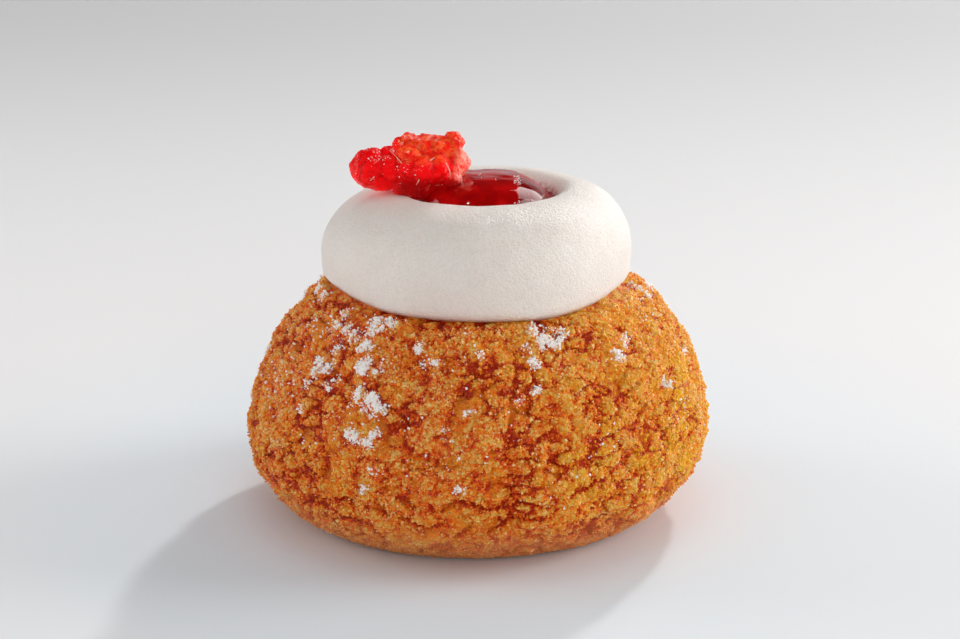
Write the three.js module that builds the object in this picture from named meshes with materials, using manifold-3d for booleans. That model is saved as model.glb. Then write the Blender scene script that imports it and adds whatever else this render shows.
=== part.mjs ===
// A choux bun baked under a crackled sugar crust. A ring of whipped cream sits on it, domed berry jam
// fills the ring, and a torn piece of raspberry lies over the ring's left rim and the jam.
// Millimetres, +Z up, +X to the right, +Y to the back. The origin is the centre of the flat base.
import * as THREE from "three";
import { mergeVertices } from "three/addons/utils/BufferGeometryUtils.js";
import Module from "manifold-3d";

const TAU = Math.PI * 2;
const degrees = (value) => (value * TAU) / 360;

const GAP = 0.3; // clearance between pieces that rest on each other

// The bun: two superellipse arcs that meet at its girth, over a flat base.
const BUN_RADIUS = 40;
const BUN_HEIGHT = 48;
const GIRTH_HEIGHT = 14.3;
const BASE_RADIUS = 27;
const LOWER_FULLNESS = 1.74; // superellipse exponents: 2 is an ellipse, more is boxier
const UPPER_FULLNESS = 2.1;
const BUN_SEGMENTS = 106;
const LOWER_ROWS = 10;
const UPPER_ROWS = 16;
const SEAT_ROWS = 3; // plain rows under the cream
const SAG_DIRECTION = degrees(206); // the side bulges low down here
const SAG_DEPTH = 0.8;
const SLOPE_DIRECTION = degrees(180); // the side slopes in more above its girth here
const SLOPE_DEPTH = 0.9;
const SLOPE_HEIGHT = 24;
const SAG_TOP = 2; // height above which the low bulge starts to fade
const BUN_WAVES = [
  // slow swellings round the bun's side: how many, how deep, and the direction of one of them
  { lobes: 2, depth: 0.35, at: degrees(33.5) },
  { lobes: 3, depth: 0.3, at: degrees(30) },
];
const SEAT_RADIUS = 26.5; // inside this the top of the bun is smooth
const CRUST_START = 29.5; // outside this the crags have their full depth
const BASE_ROLL = 5; // height over which the crags fade out towards the base

// The crust's crags are rounded lumps, one to each cell of a jittered lattice.
const CRAG_SIZE = 5.2;
const CRAG_DEPTH = 1.7;
const CRAG_LEVEL = 0.62; // share of the lumps' height that stands inside the bun's outline
const CRAG_SEED = 11;

// The cream ring: a fat piped tube, wide outside and steep inside, settled on the bun.
const RIDGE_RADIUS = 14.9; // from the middle of the opening to the top of the tube
const OPENING_SHIFT = 1.3; // the opening's middle lies this far to the right of the bun's axis
const RING_OUTER = 26.7; // from the bun's axis to the tube's widest line
const RING_MIDDLE = 45.6; // height of the tube's widest line
const RING_INSIDE = 4.6; // from the ridge to the steep inner wall
const RING_ABOVE = 11.15;
const RING_BELOW = 17;
const RING_TILT = 0.5; // the rim stands this much higher at the right, a little to the front
const RING_TILT_DIRECTION = degrees(325);
const RING_WAVES = [
  // slow swellings round the ring's outside: how many, how deep, and the direction of one of them
  { lobes: 3, depth: 0.5, at: degrees(275) },
  { lobes: 5, depth: 0.3, at: degrees(308) },
];
const RING_SEGMENTS = 60;
const RING_ROWS = 14; // from the outer foot over the ridge to the inner foot
const FOOT_ROWS = 4;

// The jam: a plug that fills the ring and swells over it as a full dome.
const JAM_EDGE_HEIGHT = 53.6;
const JAM_DOME = 5.2;
const JAM_FULLNESS = 3;
const JAM_SEGMENTS = 40;
const JAM_WALL_ROWS = 2;
const JAM_DOME_ROWS = 6;
const JAM_FLOOR_ROWS = 2;

// The raspberry: rows of drupelets, each from one centre to another, round lumps of torn flesh.
const BERRY_ROWS = [
  { from: [-19.1, -1.2, 58.2], to: [-14.6, -2.6, 58.3], count: 3, radius: 1.7 },
  { from: [-12.4, -3.4, 58.2], to: [-4.8, -2.8, 58.2], count: 4, radius: 1.8 },
  { from: [-20.4, -1.4, 60.6], to: [-14.6, -2.9, 60.2], count: 3, radius: 2.0 },
  { from: [-11.4, -4.2, 60.8], to: [-6.7, -4.2, 60.2], count: 3, radius: 1.85 },
  { from: [-18.7, -0.8, 62.4], to: [-14.9, -1.0, 62.7], count: 3, radius: 1.4 },
  { from: [-11.0, -3.2, 62.8], to: [-5.1, -1.6, 63.0], count: 4, radius: 1.55 },
  { from: [-12.6, -0.6, 64.2], to: [-4.3, 0.0, 65.1], count: 5, radius: 1.5 },
  { from: [-4.2, -1.9, 60.6], to: [-3.5, 0.8, 60.6], count: 2, radius: 1.75 },
  { from: [-19.3, 1.3, 60.3], to: [-15.2, 2.2, 60.6], count: 2, radius: 2.1 },
  { from: [-12.0, 2.9, 60.9], to: [-5.0, 2.6, 60.6], count: 3, radius: 2.3 },
  { from: [-11.6, 1.7, 63.1], to: [-5.2, 1.7, 63.3], count: 3, radius: 1.8 },
];
const BERRY_FLESH = [
  { centre: [-17.9, -0.2, 60.2], half: [2.4, 1.9, 2.3] },
  { centre: [-13.8, -0.3, 60.6], half: [2.8, 2.8, 2.4] },
  { centre: [-8.0, -0.2, 60.0], half: [5.4, 3.9, 3.2] },
  { centre: [-7.7, 0.2, 62.8], half: [4.7, 2.4, 1.9] },
];
const DRUPELET_SPREAD = 0.12; // drupelets differ in size by up to this share

// 0 below low, 1 above high, and an easy curve between.
function ease(value, low, high) {
  const t = Math.min(1, Math.max(0, (value - low) / (high - low)));
  return t * t * (3 - 2 * t);
}

// A repeatable number from 0 to 1 for a lattice cell.
function cellRandom(i, j, k, salt) {
  let h = Math.imul(i, 374761393) ^ Math.imul(j, 668265263) ^ Math.imul(k, 2147483647 - 144665);
  h = Math.imul(h ^ Math.imul(salt, 1274126177), 2246822519);
  h = Math.imul(h ^ (h >>> 15), 3266489917);
  return ((h ^ (h >>> 13)) >>> 0) / 4294967296;
}

// The square of the distance from p to the nearest lump centre, in lattice cells.
function lumpDistanceSquared(p, size, salt) {
  const [x, y, z] = p.map((v) => v / size);
  const [ci, cj, ck] = [x, y, z].map(Math.floor);
  let nearest = Infinity;
  for (let i = ci - 1; i <= ci + 1; i++)
    for (let j = cj - 1; j <= cj + 1; j++)
      for (let k = ck - 1; k <= ck + 1; k++) {
        const dx = i + cellRandom(i, j, k, salt) - x;
        const dy = j + cellRandom(i, j, k, salt + 1) - y;
        const dz = k + cellRandom(i, j, k, salt + 2) - z;
        nearest = Math.min(nearest, dx * dx + dy * dy + dz * dz);
      }
  return nearest;
}

// How far the bun's side stands out of its plain outline, by direction and height: it is a hand-made round.
function swell(angle, height) {
  const sag = toward(angle, SAG_DIRECTION) * (1 - ease(height, SAG_TOP, GIRTH_HEIGHT));
  const slope = toward(angle, SLOPE_DIRECTION) * ease(height, GIRTH_HEIGHT, SLOPE_HEIGHT);
  const round = waves(BUN_WAVES, angle) * ease(height, 0, GIRTH_HEIGHT / 2);
  return round + SAG_DEPTH * sag - SLOPE_DEPTH * slope;
}

// The sum of slow waves in one direction.
function waves(list, angle) {
  return list.reduce((sum, { lobes, depth, at }) => sum + depth * Math.cos(lobes * (angle - at)), 0);
}

// 1 in one direction, easing to 0 a quarter turn from it.
function toward(angle, direction) {
  return Math.max(0, Math.cos(angle - direction)) ** 2;
}

// Radius and height of the bun's outline at a turn of -90 degrees (base) to 90 degrees (top).
function bunOutline(turn) {
  const n = 2 / (turn < 0 ? LOWER_FULLNESS : UPPER_FULLNESS);
  const across = Math.max(0, Math.cos(turn)) ** n;
  const along = Math.abs(Math.sin(turn)) ** n;
  if (turn < 0) return [BASE_RADIUS + (BUN_RADIUS - BASE_RADIUS) * across, GIRTH_HEIGHT * (1 - along)];
  return [BUN_RADIUS * across, GIRTH_HEIGHT + (BUN_HEIGHT - GIRTH_HEIGHT) * along];
}

// Height of the bun's smooth top at a distance from its axis.
function bunTop(radius) {
  const share = (1 - (radius / BUN_RADIUS) ** UPPER_FULLNESS) ** (1 / UPPER_FULLNESS);
  return GIRTH_HEIGHT + (BUN_HEIGHT - GIRTH_HEIGHT) * share;
}

// A closed solid from rings of points: each ring is a list of [x, y, z] counter-clockwise seen from above,
// the first ring is the lowest, and each end closes on a point.
function closedRings(rings, first, last) {
  const count = rings[0].length;
  const positions = [first, ...rings.flat(), last].flat();
  const index = [];
  const at = (row, column) => 1 + row * count + (column % count);
  for (let c = 0; c < count; c++) {
    index.push(0, at(0, c + 1), at(0, c));
    for (let r = 0; r + 1 < rings.length; r++) {
      index.push(at(r, c), at(r, c + 1), at(r + 1, c + 1));
      index.push(at(r, c), at(r + 1, c + 1), at(r + 1, c));
    }
    index.push(at(rings.length - 1, c), at(rings.length - 1, c + 1), positions.length / 3 - 1);
  }
  return indexed(positions, index);
}

// A closed tube: sections[i] is the outline of one slice, and the last slice joins the first.
function closedTube(sections) {
  const turns = sections.length;
  const rows = sections[0].length;
  const index = [];
  const at = (turn, row) => (turn % turns) * rows + (row % rows);
  for (let t = 0; t < turns; t++)
    for (let r = 0; r < rows; r++) {
      index.push(at(t, r), at(t + 1, r), at(t + 1, r + 1));
      index.push(at(t, r), at(t + 1, r + 1), at(t, r + 1));
    }
  return indexed(sections.flat(2), index);
}

function indexed(positions, index) {
  const geometry = new THREE.BufferGeometry();
  geometry.setAttribute("position", new THREE.Float32BufferAttribute(positions, 3));
  geometry.setIndex(index);
  geometry.computeVertexNormals();
  return geometry;
}

// A point on the bun's skin, with the crags pushed in or out from the middle of its girth.
function bunPoint(angle, turn) {
  const [radius, height] = bunOutline(turn);
  const crusty = ease(height, 0, BASE_ROLL) * (turn < 0 ? 1 : ease(radius, SEAT_RADIUS, CRUST_START));
  const wide = radius + swell(angle, height) * (turn < 0 ? 1 : ease(radius, SEAT_RADIUS, CRUST_START));
  const plain = [wide * Math.cos(angle), wide * Math.sin(angle), height];
  const lump = 1 - Math.min(1, lumpDistanceSquared(plain, CRAG_SIZE, CRAG_SEED));
  const push = (CRAG_DEPTH * (lump - CRAG_LEVEL) * crusty) / Math.hypot(wide, height - GIRTH_HEIGHT);
  return [
    plain[0] * (1 + push),
    plain[1] * (1 + push),
    Math.max(0, height + (height - GIRTH_HEIGHT) * push),
  ];
}

function bun() {
  const seatTurn = Math.acos((SEAT_RADIUS / BUN_RADIUS) ** (UPPER_FULLNESS / 2));
  const turns = [];
  for (let i = 0; i < LOWER_ROWS; i++) turns.push((-Math.PI / 2) * (1 - i / LOWER_ROWS));
  for (let i = 0; i < UPPER_ROWS; i++) turns.push((seatTurn * i) / UPPER_ROWS);
  for (let i = 0; i < SEAT_ROWS; i++) turns.push(seatTurn + ((Math.PI / 2 - seatTurn) * i) / SEAT_ROWS);
  const rings = turns.map((turn) =>
    Array.from({ length: BUN_SEGMENTS }, (_, s) => bunPoint((TAU * s) / BUN_SEGMENTS, turn)),
  );
  return closedRings(rings, [0, 0, 0], [0, 0, BUN_HEIGHT]);
}

// Radius and height of the ring's surface at an angle round the bun and a turn round the tube
// (0 outwards, 90 degrees at the ridge, 180 degrees inwards), grown by an offset.
function ringOutline(angle, turn, offset = 0) {
  const c = Math.cos(turn);
  const s = Math.sin(turn);
  const ridge = RIDGE_RADIUS + OPENING_SHIFT * Math.cos(angle);
  const outside = RING_OUTER - ridge + waves(RING_WAVES, angle) * (1 - Math.max(0, s));
  const across = (c > 0 ? outside : RING_INSIDE) + offset;
  const tilt = RING_TILT * Math.cos(angle - RING_TILT_DIRECTION);
  const along = (s > 0 ? RING_ABOVE + tilt : RING_BELOW) + offset;
  return [ridge + across * c, RING_MIDDLE + along * s];
}

// The turn, between two others, at which the ring's surface meets the bun's top.
function footTurn(angle, from, to) {
  let [clear, sunk] = [from, to];
  for (let i = 0; i < 40; i++) {
    const middle = (clear + sunk) / 2;
    const [radius, height] = ringOutline(angle, middle);
    if (height > bunTop(radius) + GAP) clear = middle;
    else sunk = middle;
  }
  return clear;
}

function creamRing(offset = 0) {
  const sections = [];
  for (let s = 0; s < RING_SEGMENTS; s++) {
    const angle = (TAU * s) / RING_SEGMENTS;
    const outer = footTurn(angle, 0, -Math.PI / 2);
    const inner = footTurn(angle, Math.PI / 2, Math.PI * 1.5);
    const outline = [];
    for (let r = 0; r <= RING_ROWS; r++)
      outline.push(ringOutline(angle, outer + ((inner - outer) * r) / RING_ROWS, offset));
    const [innerFoot] = outline[RING_ROWS];
    const [outerFoot] = outline[0];
    for (let r = 1; r < FOOT_ROWS; r++) {
      const radius = innerFoot + ((outerFoot - innerFoot) * r) / FOOT_ROWS;
      outline.push([radius, bunTop(radius) + GAP - offset]);
    }
    sections.push(outline.map(([r, z]) => [r * Math.cos(angle), r * Math.sin(angle), z]));
  }
  return closedTube(sections);
}

// Radius of the opening at a height.
function wallRadius(height) {
  const share = (height - RING_MIDDLE) / RING_ABOVE;
  return RIDGE_RADIUS - RING_INSIDE * Math.sqrt(1 - share * share);
}

function jam(offset = 0) {
  const edge = wallRadius(JAM_EDGE_HEIGHT) - GAP;
  const foot = bunTop(wallRadius(BUN_HEIGHT)) + GAP;
  const outline = []; // radius and height, without a height where it lies on the bun
  for (let r = 1; r <= JAM_FLOOR_ROWS; r++) outline.push([((wallRadius(foot) - GAP) * r) / JAM_FLOOR_ROWS]);
  for (let r = 1; r < JAM_WALL_ROWS; r++) {
    const height = foot + ((JAM_EDGE_HEIGHT - foot) * r) / JAM_WALL_ROWS;
    outline.push([wallRadius(height) - GAP, height]);
  }
  for (let r = 0; r < JAM_DOME_ROWS; r++) {
    const turn = (Math.PI / 2) * (r / JAM_DOME_ROWS);
    const across = (edge + offset) * Math.cos(turn) ** (2 / JAM_FULLNESS);
    outline.push([across, JAM_EDGE_HEIGHT + (JAM_DOME + offset) * Math.sin(turn) ** (2 / JAM_FULLNESS)]);
  }
  const rings = outline.map(([radius, height]) =>
    Array.from({ length: JAM_SEGMENTS }, (_, s) => {
      const angle = (TAU * s) / JAM_SEGMENTS;
      const x = OPENING_SHIFT + radius * Math.cos(angle);
      const y = radius * Math.sin(angle);
      return [x, y, height ?? bunTop(Math.hypot(x, y)) + GAP];
    }),
  );
  const lowest = [OPENING_SHIFT, 0, bunTop(OPENING_SHIFT) + GAP];
  const highest = [OPENING_SHIFT, 0, JAM_EDGE_HEIGHT + JAM_DOME + offset];
  return closedRings(rings, lowest, highest);
}

const wasm = await Module();
wasm.setup();

// A three.js geometry as a solid for joining and cutting.
function solid(geometry) {
  const bare = new THREE.BufferGeometry().setAttribute("position", geometry.getAttribute("position"));
  if (geometry.index) bare.setIndex(geometry.index);
  const merged = mergeVertices(bare, 1e-4);
  return new wasm.Manifold(
    new wasm.Mesh({
      numProp: 3,
      vertProperties: merged.attributes.position.array,
      triVerts: new Uint32Array(merged.index.array),
    }),
  );
}

// A solid back as a three.js geometry.
function geometryOf(made) {
  const mesh = made.getMesh();
  return indexed(Array.from(mesh.vertProperties), Array.from(mesh.triVerts));
}

// A ball of few faces with its own half sizes along X, Y and Z. Its faces are turned so that no two match.
function ball(centre, half, detail) {
  const geometry = new THREE.IcosahedronGeometry(1, detail);
  geometry.rotateZ(centre[0]);
  geometry.scale(...half);
  geometry.translate(...centre);
  return solid(geometry);
}

function raspberry() {
  const lumps = BERRY_FLESH.map(({ centre, half }) => ball(centre, half, 2));
  BERRY_ROWS.forEach(({ from, to, count, radius }, row) => {
    for (let i = 0; i < count; i++) {
      const spread = 1 + DRUPELET_SPREAD * (2 * cellRandom(row, i, 0, CRAG_SEED) - 1);
      const centre = from.map((start, axis) => start + ((to[axis] - start) * i) / (count - 1));
      lumps.push(ball(centre, Array(3).fill(radius * spread), 1));
    }
  });
  const berry = lumps.reduce((made, lump) => made.add(lump));
  const resting = berry.subtract(solid(creamRing(GAP))).subtract(solid(jam(GAP)));
  const [largest] = resting.decompose().sort((a, b) => b.volume() - a.volume());
  return geometryOf(largest);
}

function piece(name, geometry, color, roughness) {
  const material = new THREE.MeshStandardMaterial({ color, roughness, metalness: 0 });
  const mesh = new THREE.Mesh(geometry, material);
  mesh.name = name;
  return mesh;
}

const group = new THREE.Group();
group.add(piece("bun", bun(), 0xc98237, 0.85));
group.add(piece("cream_ring", creamRing(), 0xf1ece4, 0.6));
group.add(piece("jam", jam(), 0x9c0a10, 0.1));
group.add(piece("raspberry", raspberry(), 0xe02a26, 0.4));

export default group;
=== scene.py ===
"""A choux bun under a crackled sugar crust, topped by a ring of whipped cream, berry jam and raspberry.

Sizes are in millimetres, as in the part's own drawing, and become metres when a mesh is finished. Z is up,
X points to the right and Y to the back, and the origin is the centre of the bun's flat base.
"""

import itertools
import logging
import math
from dataclasses import astuple, dataclass, field
from enum import Enum, IntEnum
from typing import Any, Mapping, Sequence

import bmesh
import bpy
import numpy as np
from mathutils import Matrix, Vector


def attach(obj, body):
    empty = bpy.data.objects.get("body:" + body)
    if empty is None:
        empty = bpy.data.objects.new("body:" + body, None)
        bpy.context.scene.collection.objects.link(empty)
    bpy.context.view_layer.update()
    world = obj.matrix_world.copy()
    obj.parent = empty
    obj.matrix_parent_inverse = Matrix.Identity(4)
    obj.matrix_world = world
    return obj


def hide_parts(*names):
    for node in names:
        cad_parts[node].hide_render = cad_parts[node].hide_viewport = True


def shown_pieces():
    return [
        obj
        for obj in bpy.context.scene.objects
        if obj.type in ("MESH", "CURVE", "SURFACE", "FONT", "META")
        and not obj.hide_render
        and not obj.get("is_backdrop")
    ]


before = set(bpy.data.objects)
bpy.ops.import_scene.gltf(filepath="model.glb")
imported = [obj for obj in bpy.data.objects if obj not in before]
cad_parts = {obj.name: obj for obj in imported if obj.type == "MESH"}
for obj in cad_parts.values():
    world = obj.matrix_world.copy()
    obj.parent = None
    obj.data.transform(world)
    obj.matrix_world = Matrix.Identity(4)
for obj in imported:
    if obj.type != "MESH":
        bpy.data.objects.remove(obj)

log = logging.getLogger("choux_bun")

MM = 0.001
TAU = 2 * math.pi
# how far a grain's corners may stray, as a share of its size
CORNER_STRAY = 0.14
# factors that stir a cell's three numbers, its salt and the outcome into a repeatable draw
AXIS_FACTORS = (374761393, 668265263, 2147338982)
SALT_FACTOR = 1274126177
STIR_FACTORS = (2246822519, 3266489917)
Colour = tuple[float, float, float, float]
Place = tuple[float, float, float]
Point = tuple[float, float]
Range = tuple[float, float]


class Part(Enum):
    """The solids that the dressed pieces stand for."""

    BUN = "bun"
    CREAM_RING = "cream_ring"
    JAM = "jam"
    RASPBERRY = "raspberry"


class Slot(Enum):
    """The finishes that the record names."""

    CRUST = "crust"
    CREAM = "cream"
    JAM = "jam"
    RASPBERRY = "raspberry"
    POWDERED_SUGAR = "powdered_sugar"


class Share(Enum):
    """The numbers, mostly from 0 to 1, that a mesh's vertices carry for its finish."""

    RISE = "rise"
    # gold patches, together with the painted light that makes one side lighter and more golden
    GOLD = "gold_and_painted_light"
    MELT = "melt"
    DUST = "dust"
    TONE = "tone"
    PAINTED_GLINT = "painted_glint"
    STAIN = "stain"
    FILM = "film"
    PAINTED_SHADE_PAST_CREASE = "painted_shade_past_crease"
    DULL = "dull"
    CREASE = "crease"
    SEAM_SHADE = "seam_shade"
    TORN = "torn"
    EDGE = "edge"
    PAINTED_SHADE_UNDER = "under"


class Draw(IntEnum):
    """Keeps one field of lumps or soft noise apart from the others."""

    CRAGS = 11
    CLUMPS = 31
    NODULES = 47
    POWDER_CRUMBS = 61
    POWDER_DRIFTS = 62
    STRAY_POWDER = 63
    BLOWN_POWDER = 64
    CRACKS = 71
    CRACK_PLACES = 83
    CRACK_WANDER = 84
    STRENGTH = 91
    WARP_X = 101
    WARP_Y = 102
    WARP_Z = 103
    GOLD = 111
    FINE_GOLD = 112
    MELT = 121
    FINE_MELT = 122
    SANDY = 131
    CREAM = 201
    CREAM_DENTS = 202
    CREAM_PITS = 203
    JAM = 301
    FINE_JAM = 302
    FILM = 303
    WRINKLES = 401
    FINE_WRINKLES = 402
    BERRY_PITS = 403
    TORN_LUMPS = 404
    TORN_PITS = 405
    CREASES = 406
    DRUPELET_LUMPS = 407
    BARE_BERRY = 501
    BARE_JAM = 502


# ---------------------------------------------------------------- shapes in numbers


def ease(value: np.ndarray, low: float, high: float) -> np.ndarray:
    """Rises from 0 at low to 1 at high with an easy start and end.

    Args:
        value: the numbers to look at.
        low: where the rise starts.
        high: where it ends.

    Returns:
        A number from 0 to 1 for each value.
    """
    t = np.clip((np.asarray(value, float) - low) / (high - low), 0, 1)
    return t * t * (3 - 2 * t)


def toward(angle: np.ndarray, direction: float) -> np.ndarray:
    """Is 1 in one direction and eases to 0 a quarter turn from it.

    Args:
        angle: directions round the Z axis, in radians.
        direction: the direction that counts as 1.

    Returns:
        The share for each direction.
    """
    return np.maximum(0, np.cos(angle - direction)) ** 2


def cell_random(cells: np.ndarray, salt: int) -> np.ndarray:
    """Draws a repeatable number for each cell of a lattice.

    Args:
        cells: whole cell numbers, three to a row.
        salt: tells one draw from another.

    Returns:
        A number from 0 to 1 for each row.
    """
    stirred = np.uint32(salt * SALT_FACTOR % 2**32)
    for axis, factor in enumerate(AXIS_FACTORS):
        stirred = stirred ^ cells[..., axis].astype(np.uint32) * np.uint32(factor)
    stirred = stirred * np.uint32(STIR_FACTORS[0])
    stirred = (stirred ^ (stirred >> np.uint32(15))) * np.uint32(STIR_FACTORS[1])
    return (stirred ^ (stirred >> np.uint32(13))) / 2**32


def lump_distances(points: np.ndarray, size: float, salt: int) -> tuple[np.ndarray, np.ndarray]:
    """Measures the squared distances to the two nearest lump centres of a jittered lattice.

    Args:
        points: places, three to a row.
        size: the lattice's cell size.
        salt: tells one lattice from another.

    Returns:
        The nearest and the second nearest squared distance, in cells.
    """
    scaled = points / size
    home = np.floor(scaled).astype(np.int64)
    nearest = np.full(len(points), np.inf)
    second = np.full(len(points), np.inf)
    for step in itertools.product((-1, 0, 1), repeat=3):
        cells = home + np.array(step)
        jitter = np.stack([cell_random(cells, salt + axis) for axis in range(3)], axis=1)
        squared = ((cells + jitter - scaled) ** 2).sum(axis=1)
        second = np.minimum(second, np.maximum(nearest, squared))
        nearest = np.minimum(nearest, squared)
    return nearest, second


def lumps(points: np.ndarray, size: float, salt: int) -> np.ndarray:
    """Gives rounded lumps, 1 at each lump's top and 0 a cell away from it.

    Args:
        points: places, three to a row.
        size: the lumps' usual size.
        salt: tells one set of lumps from another.

    Returns:
        The height for each place.
    """
    return 1 - np.minimum(1, lump_distances(points, size, salt)[0])


def soft_noise(points: np.ndarray, size: float, salt: int) -> np.ndarray:
    """Gives smooth unevenness.

    Args:
        points: places, three to a row.
        size: how far apart its swells lie.
        salt: tells one draw from another.

    Returns:
        A number from -1 to 1 for each place.
    """
    scaled = points / size
    home = np.floor(scaled).astype(np.int64)
    part = ease(scaled - home, 0, 1)
    total = np.zeros(len(points))
    for corner in itertools.product((0, 1), repeat=3):
        weight = np.prod(np.where(np.array(corner) == 1, part, 1 - part), axis=1)
        total += weight * cell_random(home + np.array(corner), salt)
    return 2 * total - 1


@dataclass(frozen=True)
class Swell:
    """One layer of smooth unevenness: how far apart its swells lie, how high they are, and its own draw."""

    size: float
    height: float
    draw: Draw

    def at(self, points: np.ndarray) -> np.ndarray:
        """Gives its height at each place."""
        return self.height * soft_noise(points, self.size, self.draw)


@dataclass(frozen=True)
class Spots:
    """Spots picked out by soft noise: how far apart they lie, the noise from which they fade in and at which
    they are full, and their own draw."""

    size: float
    start: float
    full: float
    draw: Draw

    def at(self, points: np.ndarray) -> np.ndarray:
        """Says how much of a spot each place has, from 0 to 1."""
        return ease(soft_noise(points, self.size, self.draw), self.start, self.full)


@dataclass(frozen=True)
class Lumps:
    """Rounded lumps: their size and depth, the share of a lump that counts as level, their own draw, and how
    much they lift the tone."""

    size: float
    depth: float
    level: float
    draw: Draw
    tone: float = 0.0

    def at(self, points: np.ndarray) -> np.ndarray:
        """Gives how far each place stands above the level, as a share of a lump."""
        return lumps(points, self.size, self.draw) - self.level


def swelling(points: np.ndarray, *swells: Swell) -> np.ndarray:
    """Adds layers of smooth unevenness up.

    Args:
        points: places, three to a row.
        swells: the layers.

    Returns:
        The height for each place.
    """
    return sum(swell.at(points) for swell in swells)


# ---------------------------------------------------------------- meshes


def read_places(mesh: bpy.types.Mesh) -> np.ndarray:
    """Reads a mesh's vertices in millimetres, three to a row."""
    places = np.empty(len(mesh.vertices) * 3)
    mesh.vertices.foreach_get("co", places)
    return places.reshape(-1, 3) / MM


def read_normals(mesh: bpy.types.Mesh) -> np.ndarray:
    """Reads a mesh's vertex normals, three to a row."""
    normals = np.empty(len(mesh.vertices) * 3)
    mesh.vertex_normals.foreach_get("vector", normals)
    return normals.reshape(-1, 3)


def write_places(mesh: bpy.types.Mesh, places: np.ndarray) -> None:
    """Moves a mesh's vertices to places in millimetres."""
    mesh.vertices.foreach_set("co", (places * MM).ravel())
    mesh.update()


def write_share(mesh: bpy.types.Mesh, share: Share, values: np.ndarray) -> None:
    """Stores one number for each vertex, for the finish to read.

    Args:
        mesh: the mesh.
        share: which number it is.
        values: one number for each vertex.
    """
    layer = mesh.attributes.new(share.value, "FLOAT", "POINT")
    layer.data.foreach_set("value", np.asarray(values, np.float32))


def as_object(name: str, shape: bmesh.types.BMesh) -> bpy.types.Object:
    """Turns a shape in millimetres into a smoothly shaded object in metres at the origin.

    Args:
        name: the object's name.
        shape: the shape, which is freed.

    Returns:
        The object, linked to the scene.
    """
    bmesh.ops.scale(shape, vec=(MM, MM, MM), verts=shape.verts)
    for face in shape.faces:
        face.smooth = True
    mesh = bpy.data.meshes.new(name)
    shape.to_mesh(mesh)
    shape.free()
    made = bpy.data.objects.new(name, mesh)
    bpy.context.scene.collection.objects.link(made)
    return made


def spun(outline: Sequence[Point], segments: int, closed: bool) -> bmesh.types.BMesh:
    """Spins an outline a full turn round the Z axis.

    Args:
        outline: radius and height of each point, in order.
        segments: steps in the turn.
        closed: whether the last point joins the first.

    Returns:
        The shape, whose vertices keep their point's number in the layer "row".
    """
    shape = bmesh.new()
    rows = shape.verts.layers.float.new("row")
    points = [shape.verts.new((radius, 0, height)) for radius, height in outline]
    for number, point in enumerate(points):
        point[rows] = number
    ends = points[1:] + points[:1] if closed else points[1:]
    edges = [shape.edges.new(pair) for pair in zip(points, ends)]
    bmesh.ops.spin(
        shape, geom=points + edges, cent=(0, 0, 0), axis=(0, 0, 1), angle=TAU, steps=segments, use_merge=True
    )
    bmesh.ops.remove_doubles(shape, verts=shape.verts, dist=1e-5)
    bmesh.ops.recalc_face_normals(shape, faces=shape.faces)
    return shape


def grain_pattern() -> bmesh.types.BMesh:
    """Makes one grain, 1 across: an octahedron."""
    shape = bmesh.new()
    bmesh.ops.create_uvsphere(shape, u_segments=4, v_segments=2, radius=0.5)
    shape.verts.index_update()
    return shape


def joined_copies(
    name: str,
    pattern: bmesh.types.BMesh,
    places: np.ndarray,
    sizes: np.ndarray,
    shares: Mapping[Share, np.ndarray],
    seed: int,
) -> bpy.types.Object:
    """Joins many turned and slightly misshapen copies of one small shape into one mesh.

    Args:
        name: the object's name.
        pattern: the shape, about 1 across, which is freed.
        places: the copies' centres in millimetres, three to a row.
        sizes: how wide each copy is along its own three axes, in millimetres.
        shares: numbers that the finish reads, one for each copy.
        seed: starts the random draws.

    Returns:
        The object, linked to the scene.
    """
    rng = np.random.default_rng(seed)
    corners = np.array([v.co for v in pattern.verts])
    faces = np.array([[v.index for v in f.verts] for f in pattern.faces])
    pattern.free()
    count = len(places)
    quaternions = rng.normal(size=(count, 4))
    quaternions /= np.linalg.norm(quaternions, axis=1, keepdims=True)
    w, x, y, z = quaternions.T
    turns = np.stack(
        [
            np.stack([1 - 2 * (y * y + z * z), 2 * (x * y - w * z), 2 * (x * z + w * y)], axis=1),
            np.stack([2 * (x * y + w * z), 1 - 2 * (x * x + z * z), 2 * (y * z - w * x)], axis=1),
            np.stack([2 * (x * z - w * y), 2 * (y * z + w * x), 1 - 2 * (x * x + y * y)], axis=1),
        ],
        axis=1,
    )
    strays = rng.uniform(-CORNER_STRAY, CORNER_STRAY, size=(count, len(corners), 3))
    local = (corners[None] + strays) * sizes[:, None, :]
    vertices = np.einsum("nij,nvj->nvi", turns, local) + places[:, None, :]
    indices = faces[None] + (np.arange(count) * len(corners))[:, None, None]
    mesh = bpy.data.meshes.new(name)
    sides = faces.shape[1]
    mesh.from_pydata((vertices.reshape(-1, 3) * MM).tolist(), [], indices.reshape(-1, sides).tolist())
    for share, values in shares.items():
        write_share(mesh, share, np.repeat(values, len(corners)))
    made = bpy.data.objects.new(name, mesh)
    bpy.context.scene.collection.objects.link(made)
    return made


def fused(draft: bpy.types.Object, voxel: float, rounds: int) -> bmesh.types.BMesh:
    """Fuses an object's overlapping shapes into one skin.

    Args:
        draft: the object, which is removed.
        voxel: the skin's resolution in millimetres.
        rounds: how often the skin is smoothed.

    Returns:
        The skin, in millimetres.
    """
    skin = draft.modifiers.new("skin", "REMESH")
    skin.mode = "VOXEL"
    skin.voxel_size = voxel * MM
    evaluated = draft.evaluated_get(bpy.context.evaluated_depsgraph_get())
    shape = bmesh.new()
    shape.from_mesh(evaluated.to_mesh())
    bpy.data.objects.remove(draft)
    axes = {"use_axis_x": True, "use_axis_y": True, "use_axis_z": True}
    for _ in range(rounds):
        bmesh.ops.smooth_vert(shape, verts=shape.verts, factor=0.5, **axes)
    bmesh.ops.scale(shape, vec=(1 / MM, 1 / MM, 1 / MM), verts=shape.verts)
    return shape


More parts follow.
